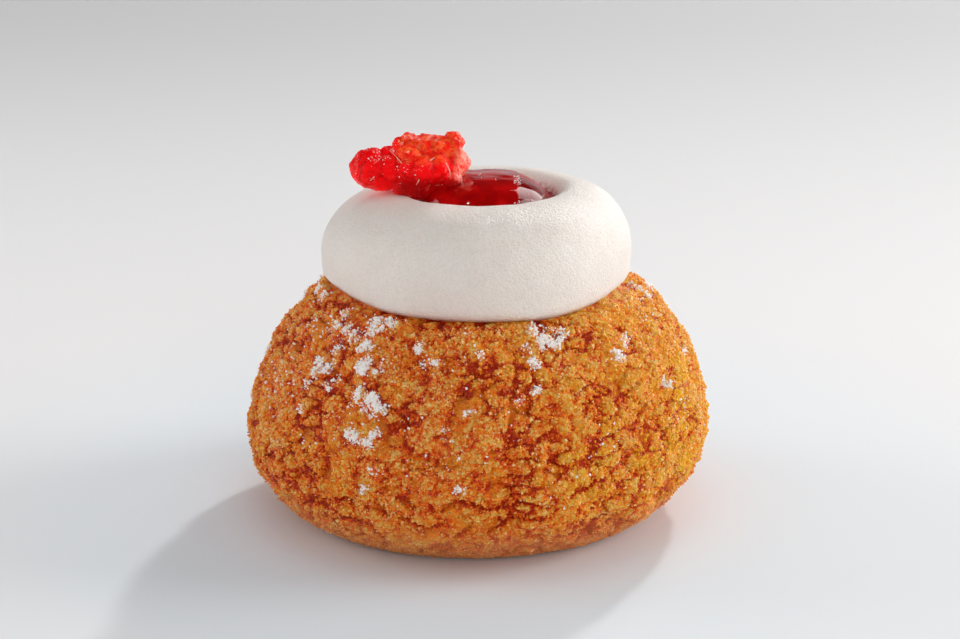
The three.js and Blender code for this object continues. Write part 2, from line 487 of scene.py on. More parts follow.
def put_on(piece: bpy.types.Object, finish: "Finish", slot: Slot, *parts: Part) -> bpy.types.Object:
    """Gives a piece its finish and its place in the object.

    Args:
        piece: the piece.
        finish: what it is dressed with.
        slot: the record's slot for that finish, not used.
        parts: the solids that it stands for.

    Returns:
        The piece.
    """
    piece.data.materials.clear()
    piece.data.materials.append(finish.material())
    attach(piece, "root")
    if parts:
        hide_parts(*(part.value for part in parts))
    return piece


# ---------------------------------------------------------------- finishes


@dataclass(frozen=True)
class Fade:
    """A smooth change: the numbers between which it happens, and what it gives at the first and the last."""

    start: float
    end: float
    first: float = 0.0
    last: float = 1.0


@dataclass(frozen=True)
class Patches:
    """Patches of noise: their size in millimetres, how they fade in, and how many finer layers the noise has
    and how strong those are."""

    size: float
    fade: Fade
    detail: float = 3.0
    roughness: float = 0.55


@dataclass(frozen=True)
class Ripples:
    """Fine relief made of noise: its size and depth in millimetres, and how many finer layers the noise has
    and how strong those are."""

    size: float
    depth: float
    detail: float = 3.0
    roughness: float = 0.55


class Paint:
    """A material's node tree while it is being wired."""

    def __init__(self, name: str) -> None:
        """Starts an empty material of that name."""
        self.material = bpy.data.materials.new(name)
        self.material.use_nodes = True
        self.tree = self.material.node_tree
        self.tree.nodes.clear()

    def node(self, kind: str, inputs: Mapping[Any, Any] | None = None, **settings: Any) -> bpy.types.Node:
        """Adds a node.

        Args:
            kind: the node's type without its ShaderNode prefix.
            inputs: for each input's name or number, a constant or the output that feeds it.
            settings: the node's own properties.

        Returns:
            The node.
        """
        made = self.tree.nodes.new("ShaderNode" + kind)
        for key, value in settings.items():
            setattr(made, key, value)
        for key, value in (inputs or {}).items():
            if isinstance(value, bpy.types.NodeSocket):
                self.tree.links.new(value, made.inputs[key])
            else:
                made.inputs[key].default_value = value
        return made

    def place(self) -> bpy.types.NodeSocket:
        """Gives the object coordinates, in metres."""
        return self.node("TexCoord").outputs["Object"]

    def axis(self, name: str) -> bpy.types.NodeSocket:
        """Gives the object coordinate along X, Y or Z, in metres."""
        return self.node("SeparateXYZ", {"Vector": self.place()}).outputs[name]

    def share(self, share: Share) -> bpy.types.NodeSocket:
        """Gives one of the mesh's own numbers."""
        return self.node("Attribute", attribute_name=share.value).outputs["Fac"]

    def noise(self, size: float, detail: float, roughness: float) -> bpy.types.NodeSocket:
        """Gives noise from 0 to 1.

        Args:
            size: its grain in millimetres.
            detail: how many finer layers it has.
            roughness: how strong those are.

        Returns:
            The noise.
        """
        inputs = {"Vector": self.place(), "Scale": 1 / (size * MM), "Detail": detail, "Roughness": roughness}
        return self.node("TexNoise", inputs).outputs["Fac"]

    def cells(self, size: float) -> bpy.types.NodeSocket:
        """Gives a cell pattern.

        Args:
            size: the cells' size in millimetres.

        Returns:
            The distance from the nearest cell's centre, in cells.
        """
        inputs = {"Vector": self.place(), "Scale": 1 / (size * MM)}
        return self.node("TexVoronoi", inputs, feature="F1").outputs["Distance"]

    def math(self, operation: str, *values: Any, clamp: bool = False) -> bpy.types.NodeSocket:
        """Works out one number.

        Args:
            operation: the sum's name.
            values: constants or outputs.
            clamp: whether the answer is kept between 0 and 1.

        Returns:
            The answer.
        """
        made = self.node("Math", dict(enumerate(values)), operation=operation)
        made.use_clamp = clamp
        return made.outputs[0]

    def times(self, first: Any, second: Any) -> bpy.types.NodeSocket:
        """Multiplies two numbers."""
        return self.math("MULTIPLY", first, second)

    def fade(self, value: Any, fade: Fade) -> bpy.types.NodeSocket:
        """Stretches a number from one range to another, smoothly.

        Args:
            value: the number.
            fade: the ranges.

        Returns:
            The stretched number.
        """
        inputs = {"Value": value, "From Min": fade.start, "From Max": fade.end}
        inputs |= {"To Min": fade.first, "To Max": fade.last}
        return self.node("MapRange", inputs, interpolation_type="SMOOTHSTEP").outputs["Result"]

    def patches(self, patches: Patches) -> bpy.types.NodeSocket:
        """Gives patches of noise.

        Args:
            patches: what they are like.

        Returns:
            How strong they are.
        """
        return self.fade(self.noise(patches.size, patches.detail, patches.roughness), patches.fade)

    def mix(self, share: Any, first: Any, second: Any) -> bpy.types.NodeSocket:
        """Mixes two colours.

        Args:
            share: how much of the second there is.
            first: a colour or an output.
            second: a colour or an output.

        Returns:
            The mixed colour.
        """
        return self.node("Mix", {0: share, 6: first, 7: second}, data_type="RGBA").outputs[2]

    def ramp(self, value: Any, stops: Sequence[tuple[float, Colour]]) -> bpy.types.NodeSocket:
        """Turns a number into a colour.

        Args:
            value: the number.
            stops: places from 0 to 1 and their colours.

        Returns:
            The colour.
        """
        made = self.node("ValToRGB", {"Fac": value})
        elements = made.color_ramp.elements
        while len(elements) < len(stops):
            elements.new(1)
        for element, (position, colour) in zip(elements, stops):
            element.position = position
            element.color = colour
        return made.outputs["Color"]

    def bump(
        self, height: Any, depth: float, under: bpy.types.NodeSocket | None = None
    ) -> bpy.types.NodeSocket:
        """Tilts the surface by a height.

        Args:
            height: the height, from 0 to 1.
            depth: how deep that is, in millimetres.
            under: a coarser relief to add it to.

        Returns:
            The normal.
        """
        inputs = {"Height": height, "Distance": depth * MM, "Strength": 1.0}
        if under is not None:
            inputs["Normal"] = under
        return self.node("Bump", inputs).outputs["Normal"]

    def ripples(self, *layers: Ripples) -> bpy.types.NodeSocket:
        """Tilts the surface by layers of noise.

        Args:
            layers: the layers, the coarsest first.

        Returns:
            The normal.
        """
        relief = None
        for layer in layers:
            relief = self.bump(self.noise(layer.size, layer.detail, layer.roughness), layer.depth, relief)
        return relief

    def finish(self, **inputs: Any) -> bpy.types.Material:
        """Ends the material with a principled surface.

        Args:
            inputs: its inputs, with underscores for spaces.

        Returns:
            The material.
        """
        named = {key.replace("_", " "): value for key, value in inputs.items()}
        surface = self.node("BsdfPrincipled", named)
        self.node("OutputMaterial", {"Surface": surface.outputs[0]})
        return self.material


class Finish:
    """What a piece is dressed with."""

    def material(self) -> bpy.types.Material:
        """Makes the material."""
        raise NotImplementedError


@dataclass(frozen=True)
class BakedColours:
    """The crust's colours, from its crevices to its peaks, and where it is lighter or darker."""

    crevice: Colour = (0.52, 0.026, 0.0012, 1)
    low: Colour = (0.88, 0.09, 0.004, 1)
    middle: Colour = (1.0, 0.2, 0.009, 1)
    high: Colour = (1.0, 0.39, 0.04, 1)
    peak: Colour = (1.0, 0.6, 0.16, 1)
    # golden: the colour of the gold patches, also laid on one side as painted light
    golden_and_painted_light: Colour = (1.0, 0.53, 0.02, 1)
    amber: Colour = (0.98, 0.3, 0.008, 1)
    # painted glint: a pale colour on some grains that stands in for highlights
    painted_glint: Colour = (1.0, 0.7, 0.3, 1)
    sugar: Colour = (0.97, 0.94, 0.91, 1)
    base: Colour = (0.86, 0.32, 0.11, 1)
    underside: Colour = (0.6, 0.26, 0.1, 1)
    # how high the first five colours stand
    levels: Sequence[float] = (0.0, 0.2, 0.48, 0.8, 1.0)
    # small lumps all over: their size in millimetres, and how the tone changes from their middles outwards
    lump: float = 0.85
    lump_tone: Fade = Fade(0.1, 0.75, 0.26, -0.26)
    # how much amber the melted patches take, and where gold may lie, by how high the crust stands
    melted: float = 0.6
    gilded: Fade = Fade(0.1, 0.7)
    # how the foot's and the underside's colours fade out, by height in metres
    foot: Fade = Fade(0.0015, 0.0105, 0.65, 0)
    below: Fade = Fade(0.0001, 0.0008, 0.85, 0)

    def mixed(self, paint: Paint, rise: bpy.types.NodeSocket) -> bpy.types.NodeSocket:
        """Colours the crust.

        Args:
            paint: the material's tree.
            rise: how high the crust stands, from 0 in a crevice to 1 on a peak.

        Returns:
            The colour.
        """
        colours = (self.crevice, self.low, self.middle, self.high, self.peak)
        rise = paint.math("ADD", rise, paint.fade(paint.cells(self.lump), self.lump_tone), clamp=True)
        colour = paint.ramp(rise, list(zip(self.levels, colours)))
        colour = paint.mix(paint.times(paint.share(Share.MELT), self.melted), colour, self.amber)
        # gold patches and the painted light of the lit side
        gold_and_painted_light = paint.times(paint.share(Share.GOLD), paint.fade(rise, self.gilded))
        colour = paint.mix(gold_and_painted_light, colour, self.golden_and_painted_light)
        height = paint.axis("Z")
        colour = paint.mix(paint.fade(height, self.foot), colour, self.base)
        return paint.mix(paint.fade(height, self.below), colour, self.underside)


@dataclass(frozen=True)
class CrustFinish(Finish):
    """Baked sugar crust: deep orange in its crevices, golden on its lumps, sandy all over, and lighter and
    more golden on one side in painted light.
    """

    colours: BakedColours = BakedColours()
    uneven: Patches = Patches(1.0, Fade(0.3, 0.7, -0.18, 0.06))
    powdery: Patches = Patches(0.5, Fade(0.38, 0.6))
    gloss: Patches = Patches(0.4, Fade(0.3, 0.7, 0.25, 0.6), detail=1)
    # the sand's relief and how it changes the tone
    sand: Ripples = Ripples(0.3, 0.3, 2, 0.7)
    sand_tone: Fade = Fade(0.32, 0.68, -0.22, 0.22)
    # lumps and finer grit: the grit's size, how both round off, and how deep they are
    grit: float = 0.36
    lump_round: Fade = Fade(0, 0.75, 1, 0)
    grit_round: Fade = Fade(0, 0.6, 1, 0)
    lump_depth: float = 0.3
    grit_depth: float = 0.15

    def material(self) -> bpy.types.Material:
        """Wires the crust."""
        paint = Paint("baked sugar crust")
        sand = paint.noise(self.sand.size, self.sand.detail, self.sand.roughness)
        rise = paint.math("ADD", paint.share(Share.RISE), paint.patches(self.uneven))
        rise = paint.math("ADD", rise, paint.fade(sand, self.sand_tone), clamp=True)
        powder = paint.times(paint.share(Share.DUST), paint.patches(self.powdery))
        colour = paint.mix(powder, self.colours.mixed(paint, rise), self.colours.sugar)
        relief = paint.bump(paint.fade(paint.cells(self.colours.lump), self.lump_round), self.lump_depth)
        relief = paint.bump(sand, self.sand.depth, relief)
        relief = paint.bump(paint.fade(paint.cells(self.grit), self.grit_round), self.grit_depth, relief)
        return paint.finish(
            Base_Color=colour,
            Roughness=paint.patches(self.gloss),
            Specular_IOR_Level=0.25,
            Subsurface_Weight=0.2,
            Subsurface_Radius=(1.0, 0.25, 0.05),
            Subsurface_Scale=0.0006,
            Normal=relief,
        )


@dataclass(frozen=True)
class GrainFinish(Finish):
    """Sugar grains and crumbs baked into the crust."""

    name: str
    roughness: float
    colours: BakedColours = BakedColours()
    uneven: Patches = Patches(0.35, Fade(0.3, 0.7, -0.1, 0.1), detail=2)
    rough: Ripples = Ripples(0.15, 0.06, detail=2)
    # how far the roughness strays either way, as a share of itself, and the size of its patches
    stray: float = 0.4
    gloss_size: float = 0.3

    def material(self) -> bpy.types.Material:
        """Wires the grains."""
        paint = Paint(self.name)
        rise = paint.math("ADD", paint.share(Share.TONE), paint.patches(self.uneven), clamp=True)
        # painted glints: pale grains that stand in for highlights
        colour = paint.mix(paint.share(Share.PAINTED_GLINT), self.colours.mixed(paint, rise), self.colours.painted_glint)
        colour = paint.mix(paint.share(Share.DUST), colour, self.colours.sugar)
        gloss = Fade(0.3, 0.7, self.roughness * (1 - self.stray), self.roughness * (1 + self.stray))
        return paint.finish(
            Base_Color=colour,
            Roughness=paint.patches(Patches(self.gloss_size, gloss, detail=1)),
            Specular_IOR_Level=0.35,
            Subsurface_Weight=0.2,
            Subsurface_Radius=(1.0, 0.3, 0.06),
            Subsurface_Scale=0.0004,
            Normal=paint.ripples(self.rough),
        )


@dataclass(frozen=True)
class PowderFinish(Finish):
    """Powdered sugar: matt white with a little painted shade between its grains, and a faint painted glow."""

    bright: Colour = (0.99, 0.97, 0.95, 1)
    shade: Colour = (0.93, 0.87, 0.8, 1)
    shaded: Patches = Patches(0.9, Fade(0.5, 0.75, 0, 0.7))
    rough: Ripples = Ripples(0.16, 0.05, roughness=0.7)
    # painted glow: emission that stands in for light that the tiny crystals pass on to each other, more than
    # their joined shapes can
    painted_powder_glow: float = 0.045

    def material(self) -> bpy.types.Material:
        """Wires the powder."""
        paint = Paint("powdered sugar")
        return paint.finish(
            Base_Color=paint.mix(paint.patches(self.shaded), self.bright, self.shade),
            Roughness=0.6,
            Specular_IOR_Level=0.5,
            Emission_Color=self.bright,
            Emission_Strength=self.painted_powder_glow,
            Normal=paint.ripples(self.rough),
        )


@dataclass(frozen=True)
class CreamFinish(Finish):
    """Whipped cream: warm white, satin, with fine sugar grain, stained where the jam has run."""

    cream: Colour = (0.98, 0.89, 0.825, 1)
    shade: Colour = (0.95, 0.855, 0.79, 1)
    speck: Colour = (0.84, 0.75, 0.68, 1)
    stain: Colour = (0.62, 0.2, 0.2, 1)
    shaded: Patches = Patches(7, Fade(0.35, 0.7), detail=2)
    specks: Patches = Patches(0.4, Fade(0.4, 0.7, 0, 0.5), 2, 0.7)
    runs: Patches = Patches(1.2, Fade(0.3, 0.6))
    gloss: Patches = Patches(0.4, Fade(0.3, 0.7, 0.3, 0.55), detail=1)
    rough: Sequence[Ripples] = (Ripples(1.1, 0.14), Ripples(0.4, 0.28, 2, 0.7))

    def material(self) -> bpy.types.Material:
        """Wires the cream."""
        paint = Paint("whipped cream")
        colour = paint.mix(paint.patches(self.shaded), self.cream, self.shade)
        colour = paint.mix(paint.patches(self.specks), colour, self.speck)
        run = paint.times(paint.share(Share.STAIN), paint.patches(self.runs))
        return paint.finish(
            Base_Color=paint.mix(run, colour, self.stain),
            Roughness=paint.patches(self.gloss),
            Specular_IOR_Level=0.4,
            Subsurface_Weight=0.3,
            Subsurface_Radius=(1.0, 0.8, 0.6),
            Subsurface_Scale=0.0012,
            Normal=paint.ripples(*self.rough),
        )


@dataclass(frozen=True)
class JamFinish(Finish):
    """Berry jam: deep clear red with a wet skin, in painted shade past its crease, pale where it films the
    cream.
    """

    deep: Colour = (0.38, 0.001, 0.0015, 1)
    bright: Colour = (0.64, 0.003, 0.003, 1)
    thin: Colour = (0.6, 0.16, 0.19, 1)
    # painted shade past the crease
    shade_past_crease: Colour = (0.16, 0.002, 0.002, 1)
    cloudy: Patches = Patches(3.5, Fade(0.35, 0.7))
    shading_past_crease: float = 0.8
    thinned: float = 0.7
    # how rough it is, from wet to dull
    gloss: Fade = Fade(0, 1, 0.05, 0.5)
    rough: Ripples = Ripples(2.4, 0.05, detail=2)

    def material(self) -> bpy.types.Material:
        """Wires the jam."""
        paint = Paint("berry jam")
        colour = paint.mix(paint.patches(self.cloudy), self.deep, self.bright)
        # painted shade: darker past the crease
        colour = paint.mix(paint.times(paint.share(Share.PAINTED_SHADE_PAST_CREASE), self.shading_past_crease), colour, self.shade_past_crease)
        colour = paint.mix(paint.times(paint.share(Share.FILM), self.thinned), colour, self.thin)
        return paint.finish(
            Base_Color=colour,
            Roughness=paint.fade(paint.share(Share.DULL), self.gloss),
            Specular_IOR_Level=0.32,
            Subsurface_Weight=0.5,
            Subsurface_Radius=(1.0, 0.03, 0.03),
            Subsurface_Scale=0.003,
            Normal=paint.ripples(self.rough),
        )


@dataclass(frozen=True)
class BerryFinish(Finish):
    """Raspberry flesh: clear red drupelets, orange where it is torn, in painted shade where it lies on the
    jam and in its seams, with painted highlights in pink flecks and a painted glow.
    """

    # painted shade: the dark red where the flesh lies on the jam
    under: Colour = (0.26, 0.001, 0.002, 1)
    red: Colour = (1.0, 0.004, 0.006, 1)
    orange: Colour = (1.0, 0.16, 0.035, 1)
    pale: Colour = (1.0, 0.3, 0.2, 1)
    # pink: painted highlights in small flecks
    pink: Colour = (1.0, 0.09, 0.07, 1)
    # painted shade in the seams between drupelets
    seam_shade_colour: Colour = (0.5, 0.001, 0.002, 1)
    shade: Colour = (0.32, 0.001, 0.002, 1)
    gleam: Colour = (1.0, 0.4, 0.36, 1)
    torn: Patches = Patches(1.1, Fade(0.42, 0.6, 0.1, 1), roughness=0.7)
    seam_shading: float = 0.75
    shaded: Patches = Patches(0.8, Fade(0.5, 0.36, 0, 0.4), roughness=0.7)
    painted_highlight_flecks: Patches = Patches(0.4, Fade(0.6, 0.7, 0, 0.3), roughness=0.7)
    threads: Patches = Patches(1.6, Fade(0.56, 0.62, 0, 0.3), detail=2)
    streaks: Patches = Patches(0.9, Fade(0.35, 0.6, 0.1, 0.8), roughness=0.7)
    gloss: Patches = Patches(0.5, Fade(0.35, 0.65, 0.04, 0.16), detail=2)
    rough: Sequence[Ripples] = (Ripples(0.9, 0.2, 2), Ripples(0.42, 0.16, 2, 0.7))
    # painted glow: emission that stands in for light that comes through the flesh from behind
    painted_berry_glow: float = 0.26

    def material(self) -> bpy.types.Material:
        """Wires the flesh."""
        paint = Paint("raspberry flesh")
        # painted shade where the flesh lies on the jam
        colour = paint.mix(paint.share(Share.PAINTED_SHADE_UNDER), self.red, self.under)
        torn = paint.times(paint.share(Share.TORN), paint.patches(self.torn))
        colour = paint.mix(torn, colour, self.orange)
        # painted shade in the seams between drupelets and in the hollows between small lumps
        colour = paint.mix(paint.times(paint.share(Share.SEAM_SHADE), self.seam_shading), colour, self.seam_shade_colour)
        colour = paint.mix(paint.patches(self.shaded), colour, self.shade)
        # painted highlights in small pink flecks
        colour = paint.mix(paint.patches(self.painted_highlight_flecks), colour, self.pink)
        # pale threads along the creases: membranes, with painted rim light; pale streaks along the right edge
        for share, pale in ((Share.CREASE, self.threads), (Share.EDGE, self.streaks)):
            colour = paint.mix(paint.times(paint.share(share), paint.patches(pale)), colour, self.pale)
        return paint.finish(
            Base_Color=colour,
            Roughness=paint.patches(self.gloss),
            Specular_IOR_Level=0.2,
            Specular_Tint=self.gleam,
            Subsurface_Weight=0.7,
            Subsurface_Radius=(1.0, 0.04, 0.025),
            Subsurface_Scale=0.0012,
            Emission_Color=colour,
            Emission_Strength=self.painted_berry_glow,
            Normal=paint.ripples(*self.rough),
        )


@dataclass(frozen=True)
class SkinFinish(Finish):
    """Dry strands of raspberry skin: pale pink and straw."""

    pink: Colour = (0.92, 0.3, 0.24, 1)
    straw: Colour = (0.95, 0.68, 0.48, 1)
    mottled: Patches = Patches(1.2, Fade(0.4, 0.6), detail=2)

    def material(self) -> bpy.types.Material:
        """Wires the strands."""
        paint = Paint("raspberry skin strands")
        return paint.finish(
            Base_Color=paint.mix(paint.patches(self.mottled), self.pink, self.straw),
            Roughness=0.45,
            Subsurface_Weight=0.5,
            Subsurface_Radius=(1.0, 0.4, 0.3),
            Subsurface_Scale=0.0008,
        )


@dataclass(frozen=True)
class FloorFinish(Finish):
    """A plain pale floor, greyer in painted shade far behind the bun, and cooler near it, where a painted
    tint cancels the orange light that the bun bounces onto the floor.
    """

    colour: Colour = (0.94, 0.93, 0.93, 1)
    painted_far_shade: Colour = (0.6, 0.6, 0.605, 1)
    # painted tint near the bun that cancels the orange light that the bun bounces onto the floor
    beside: Colour = (0.85, 0.93, 0.98, 1)
    # in metres behind the bun, and in metres from its middle
    behind: Fade = Fade(0.06, 0.55)
    around: Fade = Fade(0.04, 0.13, 1, 0)

    def material(self) -> bpy.types.Material:
        """Wires the floor."""
        paint = Paint("pale floor")
        shade = paint.mix(paint.fade(paint.axis("Y"), self.behind), self.colour, self.painted_far_shade)
        away = paint.node("VectorMath", {0: paint.place()}, operation="LENGTH").outputs["Value"]
        shade = paint.mix(paint.fade(away, self.around), shade, self.beside)
        return paint.finish(Base_Color=shade, Roughness=0.75, Specular_IOR_Level=0.2)


# ---------------------------------------------------------------- the bun


@dataclass(frozen=True)
class Grains:
    """One kind of grain baked into the crust: how many grains there are, their smallest and largest width in
    millimetres, how far they stray in tone, how rough they are, and how often they glint."""

    name: str
    count: int
    smallest: float
    largest: float
    tone_stray: float
    roughness: float
    glints: float
    # the height at which they start, and the heights over which they reach their full width
    lowest: float = 0.7
    foot: Range = (2, 12)
    foot_width: float = 0.6
    # how common they are in the crevices, and how many are missing where the sugar has melted
    in_crevices: float = 0.3
    melted_away: float = 0.7
    # how far out they sit, as a share of their width, and how far they wander, in millimetres
    lift: float = 0.12
    wander: float = 0.14
    lengths: Range = (0.7, 1.2)
    tone_lift: float = 0.12
    # painted glints, pale grains that stand in for highlights: where they are common, how common they are
    # there and elsewhere, how strong, and how high they must lie
    sandy: Spots = Spots(3.4, -0.3, 0.5, Draw.SANDY)
    sandy_glints: float = 0.3
    other_glints: float = 0.08
    glint_strength: Range = (0.4, 1)
    glint_rise: Range = (0.1, 0.5)
    dusting: Range = (0.3, 1.5)
    most_dust: float = 0.9

    def scatter(self, bun: "Bun", crust: bpy.types.Object, seed: int) -> None:
        """Scatters the grains over the crust.

        Args:
            bun: the bun that carries them.
            crust: the bun's skin.
            seed: starts the random draws.
        """
        rng = np.random.default_rng(seed)
        places = read_places(crust.data)
        normals = read_normals(crust.data)
        weight = bun.bare(places, self.lowest) * (self.in_crevices + bun.rise)
        weight *= np.hypot(places[:, 0], places[:, 1]) * (1 - self.melted_away * bun.melt)
        chosen = rng.choice(len(places), self.count, replace=False, p=weight / weight.sum())
        width = rng.uniform(self.smallest, self.largest, self.count)
        upper = ease(places[chosen, 2], *self.foot)
        width *= self.foot_width + (1 - self.foot_width) * upper
        centres = places[chosen] + normals[chosen] * (self.lift * width * upper)[:, None]
        centres += rng.uniform(-self.wander, self.wander, centres.shape)
        sizes = width[:, None] * rng.uniform(*self.lengths, (self.count, 3))
        tone = self.tone_lift + bun.rise[chosen] + rng.normal(0, self.tone_stray, self.count)
        common = self.other_glints + self.sandy_glints * self.sandy.at(places[chosen])
        bright = rng.random(self.count) < self.glints * common
        painted_glint = bright * rng.uniform(*self.glint_strength, self.count)
        dust = bun.dust[chosen] * rng.uniform(*self.dusting, self.count)
        shares = {
            Share.TONE: np.clip(tone, 0, 1),
            Share.PAINTED_GLINT: painted_glint * ease(bun.rise[chosen], *self.glint_rise),
            Share.DUST: np.clip(dust, 0, self.most_dust),
            Share.GOLD: bun.gold_and_painted_light[chosen],
            Share.MELT: bun.melt[chosen],
        }
        made = joined_copies(self.name, grain_pattern(), centres, sizes, shares, seed)
        put_on(made, GrainFinish(self.name.replace("_", " "), self.roughness), Slot.CRUST)


@dataclass
class Bun:
    """The baked bun with its crackled crust, and the grains that are baked into it."""

    # the smooth bun: its widest radius, its height, its girth's height, its base's radius, and how full its
    # outline is below and above the girth
    radius: float = 40.0
    height: float = 48.0
    girth_height: float = 14.3
    base_radius: float = 27.0
    lower_fullness: float = 1.74
    upper_fullness: float = 2.1
    # it sags outwards low on one side, and slopes in high on another
    sag_direction: float = math.radians(206)
    sag_depth: float = 0.8
    sag_foot: float = 2.0
    slope_direction: float = math.radians(180)
    slope_depth: float = 0.9
    slope_height: float = 24.0
    # slow waves round the side: how many, how deep, and how far turned
    waves: Sequence[tuple[int, float, float]] = ((2, 0.35, 0.4), (3, 0.3, 0.0))
    # where the cream sits, how far inside it the close rows end, and the radius from which the crags are full
    seat_radius: float = 26.5
    seat_margin: float = 3.0
    crust_start: float = 29.5
    # how far in from the seat's edge the fine relief fades out
    under_cream: Range = (2.5, 0.5)
    # the heights over which the crags and the fine relief start
    base_roll: float = 5.0
    fine_start: Range = (0.1, 2.2)
    # gold: painted light makes one side lighter and more golden, and patches of gold lie all over
    painted_light_direction: float = math.radians(-22)
    painted_light_heights: Range = (3, 12)
    painted_light_lift: float = 0.2
    gold_swells: Sequence[Swell] = (Swell(9, 1, Draw.GOLD), Swell(3.5, 0.5, Draw.FINE_GOLD))
    gold_range: Range = (-0.1, 0.9)
    patch_gold: float = 0.3
    painted_light_gold: float = 0.9
    least_painted_light: float = 0.6
    # patches where the sugar has melted
    melt_swells: Sequence[Swell] = (Swell(2.6, 1, Draw.MELT), Swell(1.3, 0.6, Draw.FINE_MELT))
    melt_range: Range = (0.3, 0.8)
    melt_heights: Range = (4, 8)
    # the crust's lumps, from coarse to fine
    crags: Lumps = Lumps(5.2, 1.7, 0.62, Draw.CRAGS, 0.2)
    clumps: Lumps = Lumps(2.2, 0.8, 0.7, Draw.CLUMPS, 0.8)
    nodules: Lumps = Lumps(1.05, 0.42, 0.7, Draw.NODULES, 0.7)
    # bends the small lumps out of their lattice, along each axis
    warp: Sequence[Swell] = tuple(Swell(2.6, 0.8, draw) for draw in (Draw.WARP_X, Draw.WARP_Y, Draw.WARP_Z))
    # how strong the small relief is, how that changes over the bun, and how it grows from the foot upwards
    strength: float = 0.75
    strength_swell: Swell = Swell(8, 0.3, Draw.STRENGTH)
    foot_strength: float = 0.62
    foot_heights: Range = (5, 15)
    # the network of cracks: its cells' size and how much flatter they are, the cracks' width in cells, where
    # they open, how deep they are and how much they darken the tone
    crack_size: float = 4.8
    crack_flatness: float = 1.7
    crack_gap: float = 0.1
    crack_places: Spots = Spots(6.5, -0.2, 0.4, Draw.CRACK_PLACES)
    crack_depth: float = 0.75
    crack_tone: float = 0.75
    # long cracks round the foot of the crust: points by direction in degrees and height
    foot_cracks: Sequence[Sequence[Point]] = (
        ((251, 10.4), (253, 10.5), (255, 9.7), (258, 8.9), (260, 9.5), (262, 9.9)),
        ((236, 8.4), (240, 8.3), (243, 7.4), (245, 5.6)),
        ((221, 8.4), (226, 9.9), (231, 9.9)),
        ((234, 12.0), (237, 12.2), (239, 11.3)),
        ((245, 11.6), (247, 11.9), (248, 10.7)),
        ((251, 14.2), (253, 13.8), (255, 12.6)),
        (
            (262, 12.5), (264, 13.9), (266, 14.3), (269, 13.6),
            (271, 12.8), (275, 12.9), (278, 12.8), (280, 13.5),
        ),
        ((280, 13.5), (282, 13.7), (285, 12.7), (287, 12.1)),
        ((273, 8.3), (275, 9.3), (277, 10.3), (279, 10.7), (283, 10.4), (287, 10.2)),
        ((265, 7.2), (267, 8.3), (268, 8.9)),
        ((282, 7.2), (284, 6.6), (287, 6.6)),
        ((293, 13.6), (294, 14.7), (297, 14.5), (299, 15.3), (301, 15.8)),
    )
    # how far round the bun the same cracks are found again, and how much higher they lie there
    crack_repeats: Sequence[Point] = ((0, 0), (97, -1.5), (181, 0.8), (268, -0.6))
    crack_heights: Range = (2, 20)
    crack_wander: Swell = Swell(1.4, 0.25, Draw.CRACK_WANDER)
    crack_width: float = 0.34
    long_crack_depth: float = 1.3
    # the tone of level crust, the tone that stays as it is, and how much the rest moves away from it
    level_tone: float = 0.56
    still_tone: float = 0.48
    tone_contrast: float = 1.1
    # how far the small relief is sunk, so that the grains come out level
    grain_room: float = 0.4
    # the groove that the cream's edge makes: its depth, and where it starts and is full, out from the seat
    groove: float = 0.7
    groove_edge: Range = (0.9, -0.4)
    cream_overhang: float = 0.3
    # how closely the mesh is divided: round the bun, then from the base's edge up, over the top, and inside
    segments: int = 620
    lower_rows: int = 46
    upper_rows: int = 92
    seat_rows: int = 4
    base_rows: int = 5
    grains: Sequence[Grains] = (
        Grains("pale_sugar_grains", 24800, 0.16, 0.28, 0.3, 0.2, 1.7),
        Grains("fine_sugar_grains", 24800, 0.2, 0.36, 0.3, 0.2, 1.0),
        Grains("toffee_grains", 24800, 0.3, 0.52, 0.24, 0.28, 1.0),
        Grains("crust_crumbs", 14000, 0.42, 0.74, 0.14, 0.45, 0.5),
    )
    first_seed: int = 5
    # what each vertex of the crust carries, filled in when it is built
    rise: np.ndarray = field(default_factory=lambda: np.empty(0), repr=False)
    gold_and_painted_light: np.ndarray = field(default_factory=lambda: np.empty(0), repr=False)
    melt: np.ndarray = field(default_factory=lambda: np.empty(0), repr=False)
    dust: np.ndarray = field(default_factory=lambda: np.empty(0), repr=False)

    def top(self, radius: np.ndarray) -> np.ndarray:
        """Gives the height of the bun's smooth top at a distance from its axis."""
        share = (1 - np.minimum(1, radius / self.radius) ** self.upper_fullness) ** (1 / self.upper_fullness)
        return self.girth_height + (self.height - self.girth_height) * share

    def bare(self, places: np.ndarray, lowest: float) -> np.ndarray:
        """Says which places on the crust aren't under the cream.

        Args:
            places: the places, three to a row.
            lowest: the height at which they start.

        Returns:
            True or False for each place.
        """
        outside = np.hypot(places[:, 0], places[:, 1]) > self.seat_radius - self.cream_overhang
        return (places[:, 2] > lowest) & ((places[:, 2] < self.girth_height) | outside)

    def swell(self, angle: np.ndarray, height: np.ndarray) -> np.ndarray:
        """Says how far the side stands out of its plain outline.

        Args:
            angle: directions round the axis.
            height: heights.

        Returns:
            The distance for each.
        """
        wave = sum(depth * np.sin(count * angle + turned) for count, depth, turned in self.waves)
        sag = toward(angle, self.sag_direction) * (1 - ease(height, self.sag_foot, self.girth_height))
        slope = toward(angle, self.slope_direction) * ease(height, self.girth_height, self.slope_height)
        return wave * ease(height, 0, self.girth_height / 2) + self.sag_depth * sag - self.slope_depth * slope

